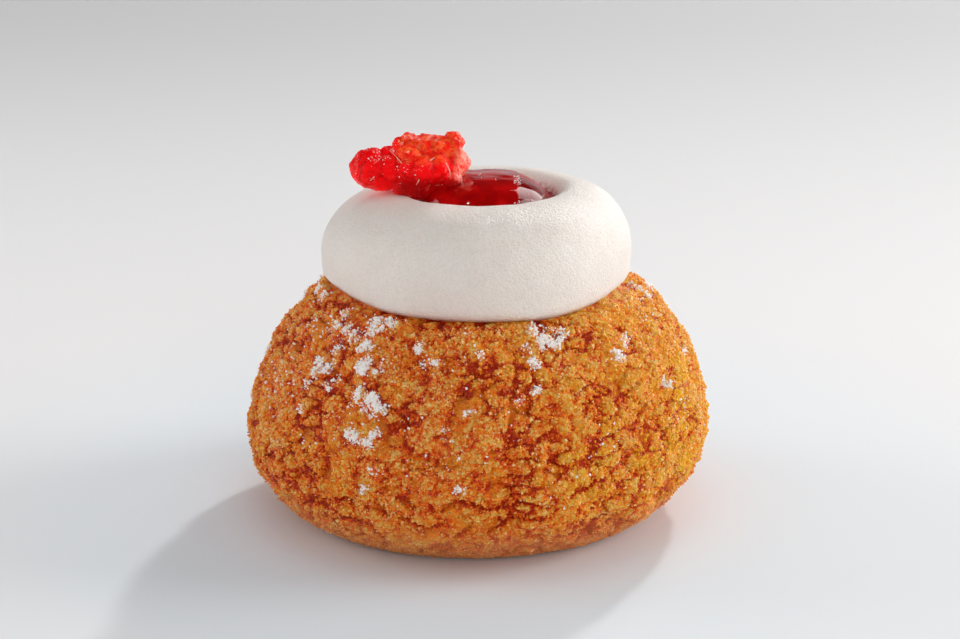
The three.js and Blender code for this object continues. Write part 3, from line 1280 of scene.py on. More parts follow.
    def outline(self) -> list[Point]:
        """Lists the outline's points from the base's middle to the top's."""
        points = [(self.base_radius * row / self.base_rows, 0.0) for row in range(self.base_rows)]
        lower = 2 / self.lower_fullness
        for row in range(self.lower_rows):
            turn = -math.pi / 2 * (1 - row / self.lower_rows)
            across = math.cos(turn) ** lower
            along = abs(math.sin(turn)) ** lower
            radius = self.base_radius + (self.radius - self.base_radius) * across
            points.append((radius, self.girth_height * (1 - along)))
        inner = self.seat_radius - self.seat_margin
        seat_turn = math.acos((inner / self.radius) ** (self.upper_fullness / 2))
        upper = 2 / self.upper_fullness
        turns = [seat_turn * row / self.upper_rows for row in range(self.upper_rows)]
        left = math.pi / 2 - seat_turn
        turns += [seat_turn + left * row / self.seat_rows for row in range(self.seat_rows)]
        for turn in turns:
            radius = self.radius * math.cos(turn) ** upper
            rise = (self.height - self.girth_height) * math.sin(turn) ** upper
            points.append((radius, self.girth_height + rise))
        return points + [(0.0, self.height)]

    def long_cracks(self, plain: np.ndarray) -> np.ndarray:
        """Finds the long cracks round the foot of the crust.

        Args:
            plain: places on the smooth bun, three to a row.

        Returns:
            How much of a crack each place has, from 0 to 1.
        """
        depth = np.zeros(len(plain))
        lowest, highest = self.crack_heights
        near = np.flatnonzero((plain[:, 2] > lowest) & (plain[:, 2] < highest))
        angle = np.degrees(np.arctan2(plain[near, 1], plain[near, 0]))
        wander = self.crack_wander.at(plain[near])
        reach = math.radians(self.radius)
        for turn, lift in self.crack_repeats:
            for line in self.foot_cracks:
                middle = line[len(line) // 2][0]
                across = ((angle - turn - middle + 180) % 360 - 180) * reach
                place = np.stack([across, plain[near, 2] - lift + wander], axis=1)
                points = [np.array([(direction - middle) * reach, height]) for direction, height in line]
                for start, end in itertools.pairwise(points):
                    along = end - start
                    share = np.clip((place - start) @ along / (along @ along), 0, 1)
                    off = np.linalg.norm(place - start - share[:, None] * along, axis=1)
                    depth[near] = np.maximum(depth[near], np.exp(-((off / self.crack_width) ** 2)))
        return depth

    def relief(
        self, plain: np.ndarray, crusty: np.ndarray, fine: np.ndarray
    ) -> tuple[np.ndarray, np.ndarray]:
        """Works out how far the crust stands out of the smooth bun.

        Args:
            plain: places on the smooth bun, three to a row.
            crusty: how much of its large crags each place has.
            fine: how much of its small lumps each place has.

        Returns:
            The push outwards in millimetres, and how high each place lies, from 0 in a crevice to 1 on a
            peak.
        """
        crag = self.crags.at(plain)
        bent = plain + np.stack([swell.at(plain) for swell in self.warp], axis=1)
        clump = self.clumps.at(bent)
        nodule = self.nodules.at(bent)
        flattened = bent * np.array([1, 1, self.crack_flatness])
        first, second = lump_distances(flattened, self.crack_size, Draw.CRACKS)
        gap = np.sqrt(second) - np.sqrt(first)
        crack = np.exp(-((gap / self.crack_gap) ** 2)) * self.crack_places.at(plain)
        crack = np.maximum(crack, self.long_crack_depth * self.long_cracks(plain))
        upper = ease(plain[:, 2], *self.foot_heights)
        strength = self.strength + self.strength_swell.at(plain)
        strength *= self.foot_strength + (1 - self.foot_strength) * upper
        small = strength * (self.clumps.depth * clump + self.nodules.depth * nodule)
        small -= self.crack_depth * crack
        push = self.crags.depth * crag * crusty + (small - self.grain_room) * fine
        rise = self.level_tone + self.clumps.tone * clump + self.nodules.tone * nodule
        rise += self.crags.tone * crag - self.crack_tone * crack
        return push, np.clip(0.5 + self.tone_contrast * (rise - self.still_tone) * fine, 0, 1)

    def crust(self) -> bpy.types.Object:
        """Makes the crust's skin."""
        made = as_object("crackled_crust", spun(self.outline(), self.segments, closed=False))
        smooth = read_places(made.data)
        radius = np.hypot(smooth[:, 0], smooth[:, 1])
        angle = np.arctan2(smooth[:, 1], smooth[:, 0])
        height = smooth[:, 2]
        above = height > self.girth_height
        shoulder = np.where(above, ease(radius, self.seat_radius, self.crust_start), 1)
        wide = radius + self.swell(angle, height) * shoulder
        plain = np.stack([wide * np.cos(angle), wide * np.sin(angle), height], axis=1)
        crusty = ease(height, 0, self.base_roll) * shoulder
        start, full = (self.seat_radius - inward for inward in self.under_cream)
        fine = ease(height, *self.fine_start) * np.where(above, ease(radius, start, full), 1)
        push, rise = self.relief(plain, crusty, fine)
        start, full = (self.seat_radius + outward for outward in self.groove_edge)
        push -= self.groove * above * ease(radius, start, full)
        away = plain - np.array([0, 0, self.girth_height])
        away /= np.linalg.norm(away, axis=1, keepdims=True)
        placed = plain + away * push[:, None]
        placed[:, 2] = np.maximum(placed[:, 2], 0)
        write_places(made.data, placed)
        patches = ease(swelling(plain, *self.gold_swells), *self.gold_range)
        # painted light: one side is lifted in tone and turned more golden, as though lit
        lit = toward(angle, self.painted_light_direction) * ease(height, *self.painted_light_heights)
        self.rise = np.clip(rise + self.painted_light_lift * lit, 0, 1)
        golden_and_painted_light = self.painted_light_gold * lit * (self.least_painted_light + (1 - self.least_painted_light) * patches)
        self.gold_and_painted_light = np.clip(self.patch_gold * patches + golden_and_painted_light, 0, 1)
        self.melt = ease(swelling(plain, *self.melt_swells), *self.melt_range)
        self.melt *= ease(height, *self.melt_heights) * fine
        for share, values in ((Share.RISE, self.rise), (Share.GOLD, self.gold_and_painted_light), (Share.MELT, self.melt)):
            write_share(made.data, share, values)
        return made

    def build(self, sugar: "PowderedSugar") -> bpy.types.Object:
        """Builds and dresses the crust and its grains.

        Args:
            sugar: the powdered sugar that lies on it.

        Returns:
            The crust's skin.
        """
        crust = self.crust()
        self.dust = sugar.dust(self, crust)
        write_share(crust.data, Share.DUST, self.dust)
        for number, grains in enumerate(self.grains):
            grains.scatter(self, crust, self.first_seed + number)
        return put_on(crust, CrustFinish(), Slot.CRUST, Part.BUN)


# ---------------------------------------------------------------- powdered sugar


@dataclass
class PowderedSugar:
    """Powdered sugar that fell in clumps on the crust."""

    # clumps on the side that shows: direction round the bun, height, half width, how thick they lie
    clumps: Sequence[tuple[float, float, float, float]] = (
        (218, 39.4, 1.3, 0.8), (195, 39.2, 0.9, 0.6), (216, 36.9, 1.3, 0.8), (223, 37.5, 0.8, 0.6),
        (228, 36.8, 1.1, 0.6), (233, 37.8, 1.2, 0.8), (237, 39.0, 1.4, 0.7), (239, 39.7, 1.1, 0.6),
        (232, 39.3, 0.9, 0.6), (224, 34.8, 0.9, 0.7), (235, 36.1, 1.1, 0.8), (233, 35.4, 0.7, 0.6),
        (237, 33.5, 1.5, 1.0), (241, 33.4, 0.8, 0.7), (219, 32.0, 0.9, 0.8), (223, 31.8, 1.1, 0.9),
        (220, 30.8, 0.9, 0.9), (227, 29.5, 0.9, 0.8), (219, 28.5, 0.8, 0.7), (237, 30.2, 0.8, 0.9),
        (237, 29.0, 1.2, 0.9), (242, 28.4, 1.9, 1.0), (245, 28.0, 1.2, 1.0), (243, 27.0, 1.0, 0.9),
        (238, 23.1, 1.6, 0.9), (243, 23.1, 1.5, 0.9), (245, 24.4, 0.8, 0.6), (252, 36.6, 0.8, 0.9),
        (258, 34.8, 0.9, 0.7), (254, 34.6, 0.6, 0.5), (289, 39.1, 1.0, 0.7), (291, 37.1, 1.2, 0.9),
        (295, 37.6, 1.5, 1.0), (299, 37.7, 1.1, 0.6), (285, 36.7, 0.9, 0.7), (287, 34.8, 0.9, 0.5),
        (286, 30.9, 0.8, 0.6), (322, 34.9, 1.2, 0.7), (315, 33.8, 1.1, 0.5), (317, 33.1, 0.7, 0.5),
        (330, 27.5, 1.0, 0.6), (271, 36.2, 0.7, 0.6), (266, 35.1, 0.8, 0.5), (268, 28.2, 0.8, 0.5),
        (281, 29.7, 0.7, 0.4), (263, 23.9, 0.8, 0.5), (262, 25.4, 0.6, 0.5), (245, 18.3, 0.9, 0.5),
        (266, 16.4, 1.0, 0.5), (242, 14.7, 0.8, 0.5), (220, 24.9, 0.7, 0.5), (352, 28.7, 0.8, 0.4),
    )
    # clumps that are drawn on the other sides: how many, and between which numbers each measure lies
    unseen_clumps: int = 46
    unseen_directions: Range = (-5, 190)
    unseen_heights: Range = (40, 18)
    unseen_lean: float = 1.6
    unseen_halves: Range = (0.7, 1.5)
    unseen_thick: Range = (0.5, 1)
    # how flat the clumps are, where they thin out, in half widths squared, and how they crumble
    flatness: float = 0.8
    edge: Range = (0.35, 1.5)
    evenness: float = 0.2
    crumbs: Lumps = Lumps(1.05, 1.5, 0.55, Draw.POWDER_CRUMBS)
    drifts: Swell = Swell(0.8, 0.7, Draw.POWDER_DRIFTS)
    # how far up a place must face, how much stays in crevices, and where the lowest powder lies
    facing_up: Range = (-0.7, 0.4)
    in_crevices: float = 0.35
    lowest: float = 3.0
    # stray grains: how thick they lie, over which heights, and where
    stray: float = 0.008
    stray_heights: Range = (6, 30)
    stray_spots: Spots = Spots(7, 0.1, 0.6, Draw.STRAY_POWDER)
    # more of them on the side that the sugar was blown against
    windward: float = math.radians(232)
    blown: float = 0.015
    blown_heights: Range = (14, 30)
    blown_spots: Spots = Spots(3, -0.2, 0.6, Draw.BLOWN_POWDER)
    # the grains: how many, their widths, how much commoner the small ones are, and how high they lie
    count: int = 13500
    smallest: float = 0.1
    largest: float = 0.6
    smallness: float = 2.4
    lift: float = 0.12
    thick_lift: float = 0.5
    wander: float = 0.24
    lengths: Range = (0.8, 1.3)
    seed: int = 23

    def all_clumps(self) -> list[tuple[float, float, float, float]]:
        """Lists the clumps, with drawn ones on the sides that the photograph doesn't show."""
        rng = np.random.default_rng(self.seed)
        count = self.unseen_clumps
        directions = rng.uniform(*self.unseen_directions, count)
        highest, lowest = self.unseen_heights
        heights = highest - (highest - lowest) * rng.random(count) ** self.unseen_lean
        halves = rng.uniform(*self.unseen_halves, count)
        thick = rng.uniform(*self.unseen_thick, count)
        return [*self.clumps, *zip(directions, heights, halves, thick)]

    def thickness(self, places: np.ndarray) -> np.ndarray:
        """Says how thick the clumps lie.

        Args:
            places: places on the crust, three to a row.

        Returns:
            A number from 0 to 1 for each place.
        """
        angle = np.arctan2(places[:, 1], places[:, 0])
        total = np.zeros(len(places))
        for direction, height, half, thick in self.all_clumps():
            turn = math.radians(direction)
            around = (angle - turn + math.pi) % TAU - math.pi
            reach = np.hypot(places[:, 0], places[:, 1]) * around
            off = reach**2 + ((places[:, 2] - height) / self.flatness) ** 2
            total += thick * (1 - ease(off / half**2, *self.edge))
        return np.clip(total, 0, 1)

    def dust(self, bun: Bun, crust: bpy.types.Object) -> np.ndarray:
        """Says how much powder lies on each place of the crust.

        Args:
            bun: the bun that carries it.
            crust: the bun's skin.

        Returns:
            A number from 0 to 1 for each vertex.
        """
        places = read_places(crust.data)
        height = places[:, 2]
        up = read_normals(crust.data)[:, 2]
        uneven = self.evenness + self.crumbs.depth * self.crumbs.at(places) + self.drifts.at(places)
        falls = ease(up, *self.facing_up) * (self.in_crevices + (1 - self.in_crevices) * bun.rise)
        drift = self.thickness(places) * np.clip(uneven, 0, 1)
        stray = self.stray * ease(height, *self.stray_heights) * self.stray_spots.at(places)
        windward = toward(np.arctan2(places[:, 1], places[:, 0]), self.windward) ** 3
        blown = self.blown * windward * ease(height, *self.blown_heights)
        stray += blown * self.blown_spots.at(places)
        return np.clip(bun.bare(places, self.lowest) * falls * (drift + stray), 0, 1)

    def build(self, bun: Bun, crust: bpy.types.Object) -> None:
        """Builds and dresses the powder.

        Args:
            bun: the bun that carries it.
            crust: the bun's skin.
        """
        rng = np.random.default_rng(self.seed)
        places = read_places(crust.data)
        weight = bun.dust * np.hypot(places[:, 0], places[:, 1])
        chosen = rng.choice(len(places), self.count, replace=True, p=weight / weight.sum())
        share = rng.random(self.count) ** self.smallness
        width = self.smallest + (self.largest - self.smallest) * share
        lift = rng.uniform(0, self.lift + self.thick_lift * bun.dust[chosen])
        centres = places[chosen] + read_normals(crust.data)[chosen] * lift[:, None]
        centres += rng.normal(0, self.wander, centres.shape)
        sizes = width[:, None] * rng.uniform(*self.lengths, (self.count, 3))
        powder = joined_copies("powdered_sugar", grain_pattern(), centres, sizes, {}, self.seed + 1)
        put_on(powder, PowderFinish(), Slot.POWDERED_SUGAR)


# ---------------------------------------------------------------- the cream ring


@dataclass
class CreamRing:
    """The piped ring of whipped cream that sits on the bun: a closed tube, fat outside and steep inside."""

    # the ridge's radius, how far right the opening lies, the outer radius, the height of the tube's middle,
    # and how far the tube reaches in, up and down from there
    ridge_radius: float = 14.9
    opening_shift: float = 1.3
    outer: float = 26.7
    middle: float = 45.6
    inside: float = 4.6
    above: float = 11.15
    below: float = 17.0
    tilt: float = 0.5
    tilt_direction: float = math.radians(325)
    # slow waves round the outside: how many, how deep, and where the first crest lies
    waves: Sequence[tuple[int, float, float]] = ((3, 0.5, math.radians(275)), (5, 0.3, math.radians(308)))
    # how far the foot tucks in, and how far above the bun that starts
    tuck: float = 1.0
    tuck_height: float = 1.5
    sink: float = 0.35
    dents: Sequence[Swell] = (
        Swell(8, 0.16, Draw.CREAM), Swell(3.2, 0.07, Draw.CREAM_DENTS), Swell(1.2, 0.03, Draw.CREAM_PITS)
    )
    # where the jam has stained it: from which rows on, up to which height, and most in one direction
    stained_rows: Range = (0.6, 0.72)
    stained_heights: Range = (56.3, 54.6)
    stain_direction: float = math.radians(10)
    least_stain: float = 0.25
    draft_radius: float = 8.0
    halvings: int = 30
    segments: int = 300
    rows: int = 84
    foot_rows: int = 6

    def outline(self, angle: np.ndarray, turn: np.ndarray) -> tuple[np.ndarray, np.ndarray]:
        """Gives the surface at a direction round the bun and a turn round the tube.

        Args:
            angle: the direction.
            turn: 0 outwards, a quarter turn at the ridge and half a turn inwards.

        Returns:
            Radius and height.
        """
        c = np.cos(turn)
        s = np.sin(turn)
        ridge = self.ridge_radius + self.opening_shift * np.cos(angle)
        wave = sum(depth * np.cos(count * (angle - at)) for count, depth, at in self.waves)
        across = np.where(c > 0, self.outer - ridge + wave * (1 - np.maximum(0, s)), self.inside)
        along = np.where(s > 0, self.above + self.tilt * np.cos(angle - self.tilt_direction), self.below)
        return ridge + across * c, self.middle + along * s

    def foot_turn(self, bun: Bun, angle: np.ndarray, start: float, end: float) -> np.ndarray:
        """Finds the turn at which the tube meets the bun's top.

        Args:
            bun: the bun below.
            angle: directions round it.
            start: a turn clear of the bun.
            end: a turn inside it.

        Returns:
            The turn for each direction.
        """
        clear = np.full(len(angle), start)
        sunk = np.full(len(angle), end)
        for _ in range(self.halvings):
            between = (clear + sunk) / 2
            radius, height = self.outline(angle, between)
            is_clear = height > bun.top(radius) - self.sink
            clear = np.where(is_clear, between, clear)
            sunk = np.where(is_clear, sunk, between)
        return clear

    def build(self, bun: Bun) -> bpy.types.Object:
        """Builds and dresses the ring.

        Args:
            bun: the bun that carries it.

        Returns:
            The ring.
        """
        total = self.rows + self.foot_rows
        turns = [TAU * row / total for row in range(total)]
        wide = self.draft_radius
        draft = [(self.ridge_radius + wide * math.cos(t), self.middle + wide * math.sin(t)) for t in turns]
        shape = spun(draft, self.segments, closed=True)
        rows = np.array([vertex[shape.verts.layers.float["row"]] for vertex in shape.verts])
        ring = as_object("whipped_cream_ring", shape)
        draft_places = read_places(ring.data)
        angle = np.arctan2(draft_places[:, 1], draft_places[:, 0])
        outer = self.foot_turn(bun, angle, 0, -math.pi / 2)
        inner = self.foot_turn(bun, angle, math.pi / 2, 1.5 * math.pi)
        share = np.minimum(1, rows / self.rows)
        radius, height = self.outline(angle, outer + (inner - outer) * share)
        clearance = height - bun.top(radius) + self.sink
        radius -= self.tuck * (1 - ease(clearance, 0, self.tuck_height)) * (share < 0.5)
        outer_radius, _ = self.outline(angle, outer)
        inner_radius, _ = self.outline(angle, inner)
        back = np.maximum(0, rows - self.rows) / self.foot_rows
        floor_radius = inner_radius + (outer_radius - self.tuck - inner_radius) * back
        radius = np.where(rows > self.rows, floor_radius, radius)
        height = np.where(rows > self.rows, bun.top(radius) - self.sink, height)
        plain = np.stack([radius * np.cos(angle), radius * np.sin(angle), height], axis=1)
        write_places(ring.data, plain)
        dents = swelling(plain, *self.dents)
        write_places(ring.data, plain + read_normals(ring.data) * dents[:, None])
        wall = ease(rows / self.rows, *self.stained_rows) * ease(plain[:, 2], *self.stained_heights)
        smear = self.least_stain + (1 - self.least_stain) * toward(angle, self.stain_direction)
        write_share(ring.data, Share.STAIN, wall * smear)
        return put_on(ring, CreamFinish(), Slot.CREAM, Part.CREAM_RING)


# ---------------------------------------------------------------- the jam


@dataclass
class Jam:
    """The domed berry jam that fills the ring, with a thin film up the ring's inner wall."""

    # the radius at which its foot meets the bun, its edge, its dome, and how far it goes into the ring
    foot_radius: float = 9.0
    edge_height: float = 53.6
    dome: float = 5.2
    fullness: float = 3.0
    overlap: float = 0.25
    shoulder: float = 0.35
    film_top: float = 55.3
    film: float = 0.22
    # how the film's top waves, and how many millimetres of those waves lie in one radian round the ring
    film_swell: Swell = Swell(2.2, 0.6, Draw.FILM)
    film_reach: float = 8.0
    swells: Sequence[Swell] = (Swell(4.5, 0.2, Draw.JAM), Swell(1.6, 0.05, Draw.FINE_JAM))
    # a crease across the top, this far right, past which it slopes down: its slope and how rounded it is
    crease_at: float = 6.8
    crease_slope: float = 0.2
    crease_round: float = 0.1
    # painted shade past the crease: over how much it starts, and up to where it reaches back
    shade_past_crease_start: float = 0.5
    shade_past_crease_back: Range = (1.5, -1)
    dull_left: Range = (-4, -8)
    segments: int = 200
    dome_rows: int = 56
    wall_rows: int = 6
    film_rows: int = 6
    level_rows: int = 14

    def build(self, bun: Bun, ring: CreamRing) -> bpy.types.Object:
        """Builds and dresses the jam.

        Args:
            bun: the bun below it.
            ring: the ring round it.

        Returns:
            The jam.
        """

        def wall(height: float) -> float:
            """Gives the radius just inside the ring's inner wall at a height."""
            share = (height - ring.middle) / ring.above
            return ring.ridge_radius - ring.inside * math.sqrt(1 - share * share) + self.overlap

        foot = float(bun.top(np.array(self.foot_radius)))
        outline = [(0.0, foot)]
        for row in range(self.wall_rows):
            height = foot + (self.film_top - foot) * row / self.wall_rows
            outline.append((wall(height), height))
        edge = wall(self.edge_height) - self.overlap - self.shoulder
        low = self.edge_height + self.shoulder
        for row in range(self.film_rows):
            down = row / self.film_rows
            height = self.film_top - (self.film_top - low) * down
            outline.append((wall(height) - self.overlap - self.film * math.sqrt(down) * (1 + down), height))
        for row in range(self.dome_rows):
            turn = math.pi / 2 * row / self.dome_rows
            across = edge * math.cos(turn) ** (2 / self.fullness)
            rise = (self.dome - self.shoulder) * math.sin(turn) ** (2 / self.fullness)
            outline.append((across, low + rise))
        outline.append((0.0, self.edge_height + self.dome))
        shape = spun(outline, self.segments, closed=False)
        rows = np.array([vertex[shape.verts.layers.float["row"]] for vertex in shape.verts])
        bmesh.ops.translate(shape, vec=(ring.opening_shift, 0, 0), verts=shape.verts)
        jam = as_object("berry_jam", shape)
        plain = read_places(jam.data)
        dome_start = 1 + self.wall_rows + self.film_rows
        on_top = ease(rows, dome_start, dome_start + self.level_rows)
        film = ease(rows, self.wall_rows - 1, self.wall_rows) * ease(rows, dome_start + 2, dome_start)
        angle = np.arctan2(plain[:, 1], plain[:, 0])
        push = on_top * swelling(plain, *self.swells)
        placed = plain + read_normals(jam.data) * push[:, None]
        past = plain[:, 0] - self.crease_at
        over = np.sqrt(np.maximum(0, past) ** 2 + self.crease_round**2) - self.crease_round
        placed[:, 2] -= self.crease_slope * over * on_top
        round_ring = np.stack([angle * self.film_reach, angle * 0, angle * 0], axis=1)
        placed[:, 2] += film * self.film_swell.at(round_ring)
        write_places(jam.data, placed)
        painted_shade_past_crease = on_top * ease(past, 0, self.shade_past_crease_start) * ease(plain[:, 1], *self.shade_past_crease_back)
        dull = film * ease(plain[:, 0], *self.dull_left)
        for share, values in ((Share.FILM, film), (Share.PAINTED_SHADE_PAST_CREASE, painted_shade_past_crease), (Share.DULL, dull)):
            write_share(jam.data, share, values)
        return put_on(jam, JamFinish(), Slot.JAM, Part.JAM)


# ---------------------------------------------------------------- the raspberry


@dataclass
class Raspberry:
    """A torn piece of raspberry: rows of drupelets round lumps of flesh."""

    # each row runs from one centre to another: start, end, how many, radius
    rows: Sequence[tuple[Place, Place, int, float]] = (
        ((-19.1, -1.2, 58.2), (-14.6, -2.6, 58.3), 3, 1.7),
        ((-12.4, -3.4, 58.2), (-4.8, -2.8, 58.2), 4, 1.8),
        ((-20.4, -1.4, 60.6), (-14.6, -2.9, 60.2), 3, 2.0),
        ((-11.4, -4.2, 60.8), (-6.7, -4.2, 60.2), 3, 1.85),
        ((-18.7, -0.8, 62.4), (-14.9, -1.0, 62.7), 3, 1.4),
        ((-11.0, -3.2, 62.8), (-5.1, -1.6, 63.0), 4, 1.55),
        ((-12.6, -0.6, 64.2), (-4.3, 0.0, 64.7), 5, 1.5),
        ((-4.2, -1.9, 60.6), (-3.5, 0.8, 60.6), 2, 1.75),
        ((-19.3, 1.3, 60.3), (-15.2, 2.2, 60.6), 2, 2.1),
        ((-12.0, 2.9, 60.9), (-5.0, 2.6, 60.6), 3, 2.3),
        ((-11.6, 1.7, 63.1), (-5.2, 1.7, 63.3), 3, 1.8),
    )
    # the lumps of flesh that they sit on: centre and half sizes
    flesh: Sequence[tuple[Place, Place]] = (
        ((-18.0, -0.9, 60.5), (3.3, 3.3, 2.9)),
        ((-10.6, -3.5, 57.6), (3.6, 2.1, 1.9)),
        ((-16.3, -1.6, 58.8), (3.5, 3.0, 2.0)),
        ((-14.2, -0.9, 60.3), (3.6, 3.6, 2.8)),
        ((-11.4, -2.0, 58.6), (3.6, 3.2, 2.3)),
        ((-8.2, -0.9, 60.2), (5.5, 4.6, 3.2)),
    )
    # the torn lumps on top: centre, half sizes and tilt in degrees
    torn: Sequence[tuple[Place, Place, float]] = (
        ((-10.0, -0.4, 62.7), (2.9, 2.3, 2.6), 9),
        ((-6.1, -0.5, 62.7), (3.3, 2.6, 2.7), 1),
    )
    # the drupelets that swelled most: centre and radius
    swollen: Sequence[tuple[Place, float]] = (
        ((-18.2, -0.9, 60.4), 3.1), ((-11.2, -3.3, 60.6), 2.2), ((-6.5, -3.4, 60.4), 2.3),
        ((-14.6, -1.8, 60.1), 2.4), ((-4.0, -1.2, 61.2), 2.0), ((-9.6, -0.9, 63.0), 2.2),
        ((-5.6, -0.6, 63.1), 2.3), ((-16.6, -1.8, 58.9), 2.1), ((-19.0, -0.8, 61.5), 2.0),
    )
    # how far the drupelets stray in size and place, and how near a swollen one must be to swallow them
    spread: float = 0.12
    stray: float = 0.3
    swallow: float = 0.95
    seed: int = 11
    # how much larger the shapes are made, because smoothing shrinks them, then the skin's resolution and how
    # often it is smoothed
    plump: float = 1.1
    voxel: float = 0.17
    rounds: int = 9
    # the seams between drupelets: how near two must come, and how wide, deep and strong their creases are
    seam_reach: float = 1.1
    seam_near: float = 2.0
    crease_width: float = 0.42
    crease_depth: float = 0.16
    creases: Spots = Spots(1.1, -0.4, 0.5, Draw.CREASES)
    # painted shade along the seams between drupelets: how wide it is and how strong
    seam_shade_width: float = 0.9
    seam_shade_strength: float = 0.7
    # wrinkles all over, small drupelets, and coarse lumps and pits where it is torn
    wrinkles: Sequence[Swell] = (Swell(1.6, 0.22, Draw.WRINKLES), Swell(0.75, 0.12, Draw.FINE_WRINKLES))
    pits: Swell = Swell(0.45, 0.08, Draw.BERRY_PITS)
    drupelet_lumps: Lumps = Lumps(1.9, 0.45, 0.6, Draw.DRUPELET_LUMPS)
    seam_level: float = 0.3
    torn_lumps: Lumps = Lumps(1.5, 0.55, 0.6, Draw.TORN_LUMPS)
    torn_pits: Swell = Swell(0.5, 0.15, Draw.TORN_PITS)
    # where it is torn, pale at its right edge, and in painted shade underneath: across and up, in millimetres
    torn_up: Range = (61.6, 63)
    torn_across: Range = (-14.5, -12.5)
    edge_across: Range = (-4.4, -2.9)
    edge_top: Range = (64.8, 63.2)
    edge_foot: Range = (58.2, 59.6)
    shade_under_up: Range = (60.6, 58.2)
    shade_under_across: Range = (-15.5, -12)
    # pale strands of skin: thickness, then points across and up where they lie on the front
    strands: Sequence[tuple[float, Sequence[Point]]] = (
        (0.13, ((-14.8, 63.6), (-13.8, 62.9), (-12.8, 62.0))),
        (0.12, ((-12.8, 62.7), (-12.1, 63.8), (-11.2, 64.1), (-9.7, 63.3))),
        (0.12, ((-9.3, 61.8), (-8.3, 62.5), (-7.2, 62.9))),
        (0.11, ((-18.1, 58.9), (-17.4, 59.7))),
        (0.1, ((-6.0, 58.3), (-4.7, 59.2), (-4.5, 60.8), (-5.3, 62.1))),
        (0.1, ((-10.3, 58.5), (-9.4, 59.9), (-9.8, 61.4))),
        (0.2, ((-3.2, 63.6), (-2.4, 62.4), (-2.1, 61.2), (-2.6, 59.8))),
    )
    # how far they are sunk, as a share of their thickness, how thin they may get, and where the rays start
    # that find the flesh
    strand_sink: float = 0.3
    strand_least: float = 0.6
    in_front: float = -20.0

    def drupelets(self) -> list[tuple[Vector, float]]:
        """Lists the drupelets' centres and radii, without those that a swollen one swallows."""
        swollen = [(Vector(centre), radius) for centre, radius in self.swollen]
        made = list(swollen)
        for number, (start, end, count, radius) in enumerate(self.rows):
            for step in range(count):
                draws = 2 * cell_random(np.array([[number, step, axis] for axis in range(4)]), self.seed) - 1
                centre = Vector(start).lerp(Vector(end), step / (count - 1)) + Vector(draws[1:]) * self.stray
                if all((centre - big).length > self.swallow * reach for big, reach in swollen):
                    made.append((centre, radius * (1 + self.spread * float(draws[0]))))
        return made

    def body(self) -> bpy.types.Object:
        """Makes the torn flesh."""
        drupelets = self.drupelets()
        shape = bmesh.new()
        for centre, radius in drupelets:
            at = Matrix.Translation(centre)
            bmesh.ops.create_icosphere(shape, subdivisions=4, radius=radius * self.plump, matrix=at)
        for centre, half in self.flesh:
            at = Matrix.Translation(centre) @ Matrix.Diagonal((*half, 1))
            bmesh.ops.create_icosphere(shape, subdivisions=4, radius=self.plump, matrix=at)
        for centre, half, tilt in self.torn:
            turned = Matrix.Rotation(math.radians(tilt), 4, "Y")
            at = Matrix.Translation(centre) @ turned @ Matrix.Diagonal((*half, 1))
            bmesh.ops.create_cube(shape, size=2, matrix=at)
        draft = as_object("raspberry_draft", shape)
        berry = as_object("raspberry_flesh", fused(draft, self.voxel, self.rounds))
        plain = read_places(berry.data)
        gaps = [np.linalg.norm(plain - np.array(centre), axis=1) - radius for centre, radius in drupelets]
        nearest, second = np.sort(np.stack(gaps, axis=1), axis=1)[:, :2].T
        crease = np.exp(-((np.minimum(nearest, self.seam_near) / self.seam_reach) ** 2))
        crease *= np.exp(-(((second - nearest) / self.crease_width) ** 2)) * self.creases.at(plain)
        torn = ease(plain[:, 2], *self.torn_up) * ease(plain[:, 0], *self.torn_across)
        small = self.drupelet_lumps.at(plain)
        wrinkle = swelling(plain, *self.wrinkles, self.pits) - self.crease_depth * crease
        wrinkle += self.drupelet_lumps.depth * small
        wrinkle += torn * (self.torn_lumps.depth * self.torn_lumps.at(plain) + self.torn_pits.at(plain))
        write_places(berry.data, plain + read_normals(berry.data) * wrinkle[:, None])
        # painted shade along the seams between drupelets and in low spots
        seam_shade = self.seam_shade_strength * np.exp(-(((second - nearest) / self.seam_shade_width) ** 2))
        edge = ease(plain[:, 0], *self.edge_across) * ease(plain[:, 2], *self.edge_top)
        # painted shade underneath, where the flesh lies on the jam
        under = ease(plain[:, 2], *self.shade_under_up) * ease(plain[:, 0], *self.shade_under_across)
        shares = {
            Share.CREASE: crease,
            Share.SEAM_SHADE: np.maximum(seam_shade, ease(small, 0, -self.seam_level)),
            Share.TORN: torn,
            Share.EDGE: edge * ease(plain[:, 2], *self.edge_foot),
            Share.PAINTED_SHADE_UNDER: under,
        }
        for share, values in shares.items():
            write_share(berry.data, share, values)
        return berry

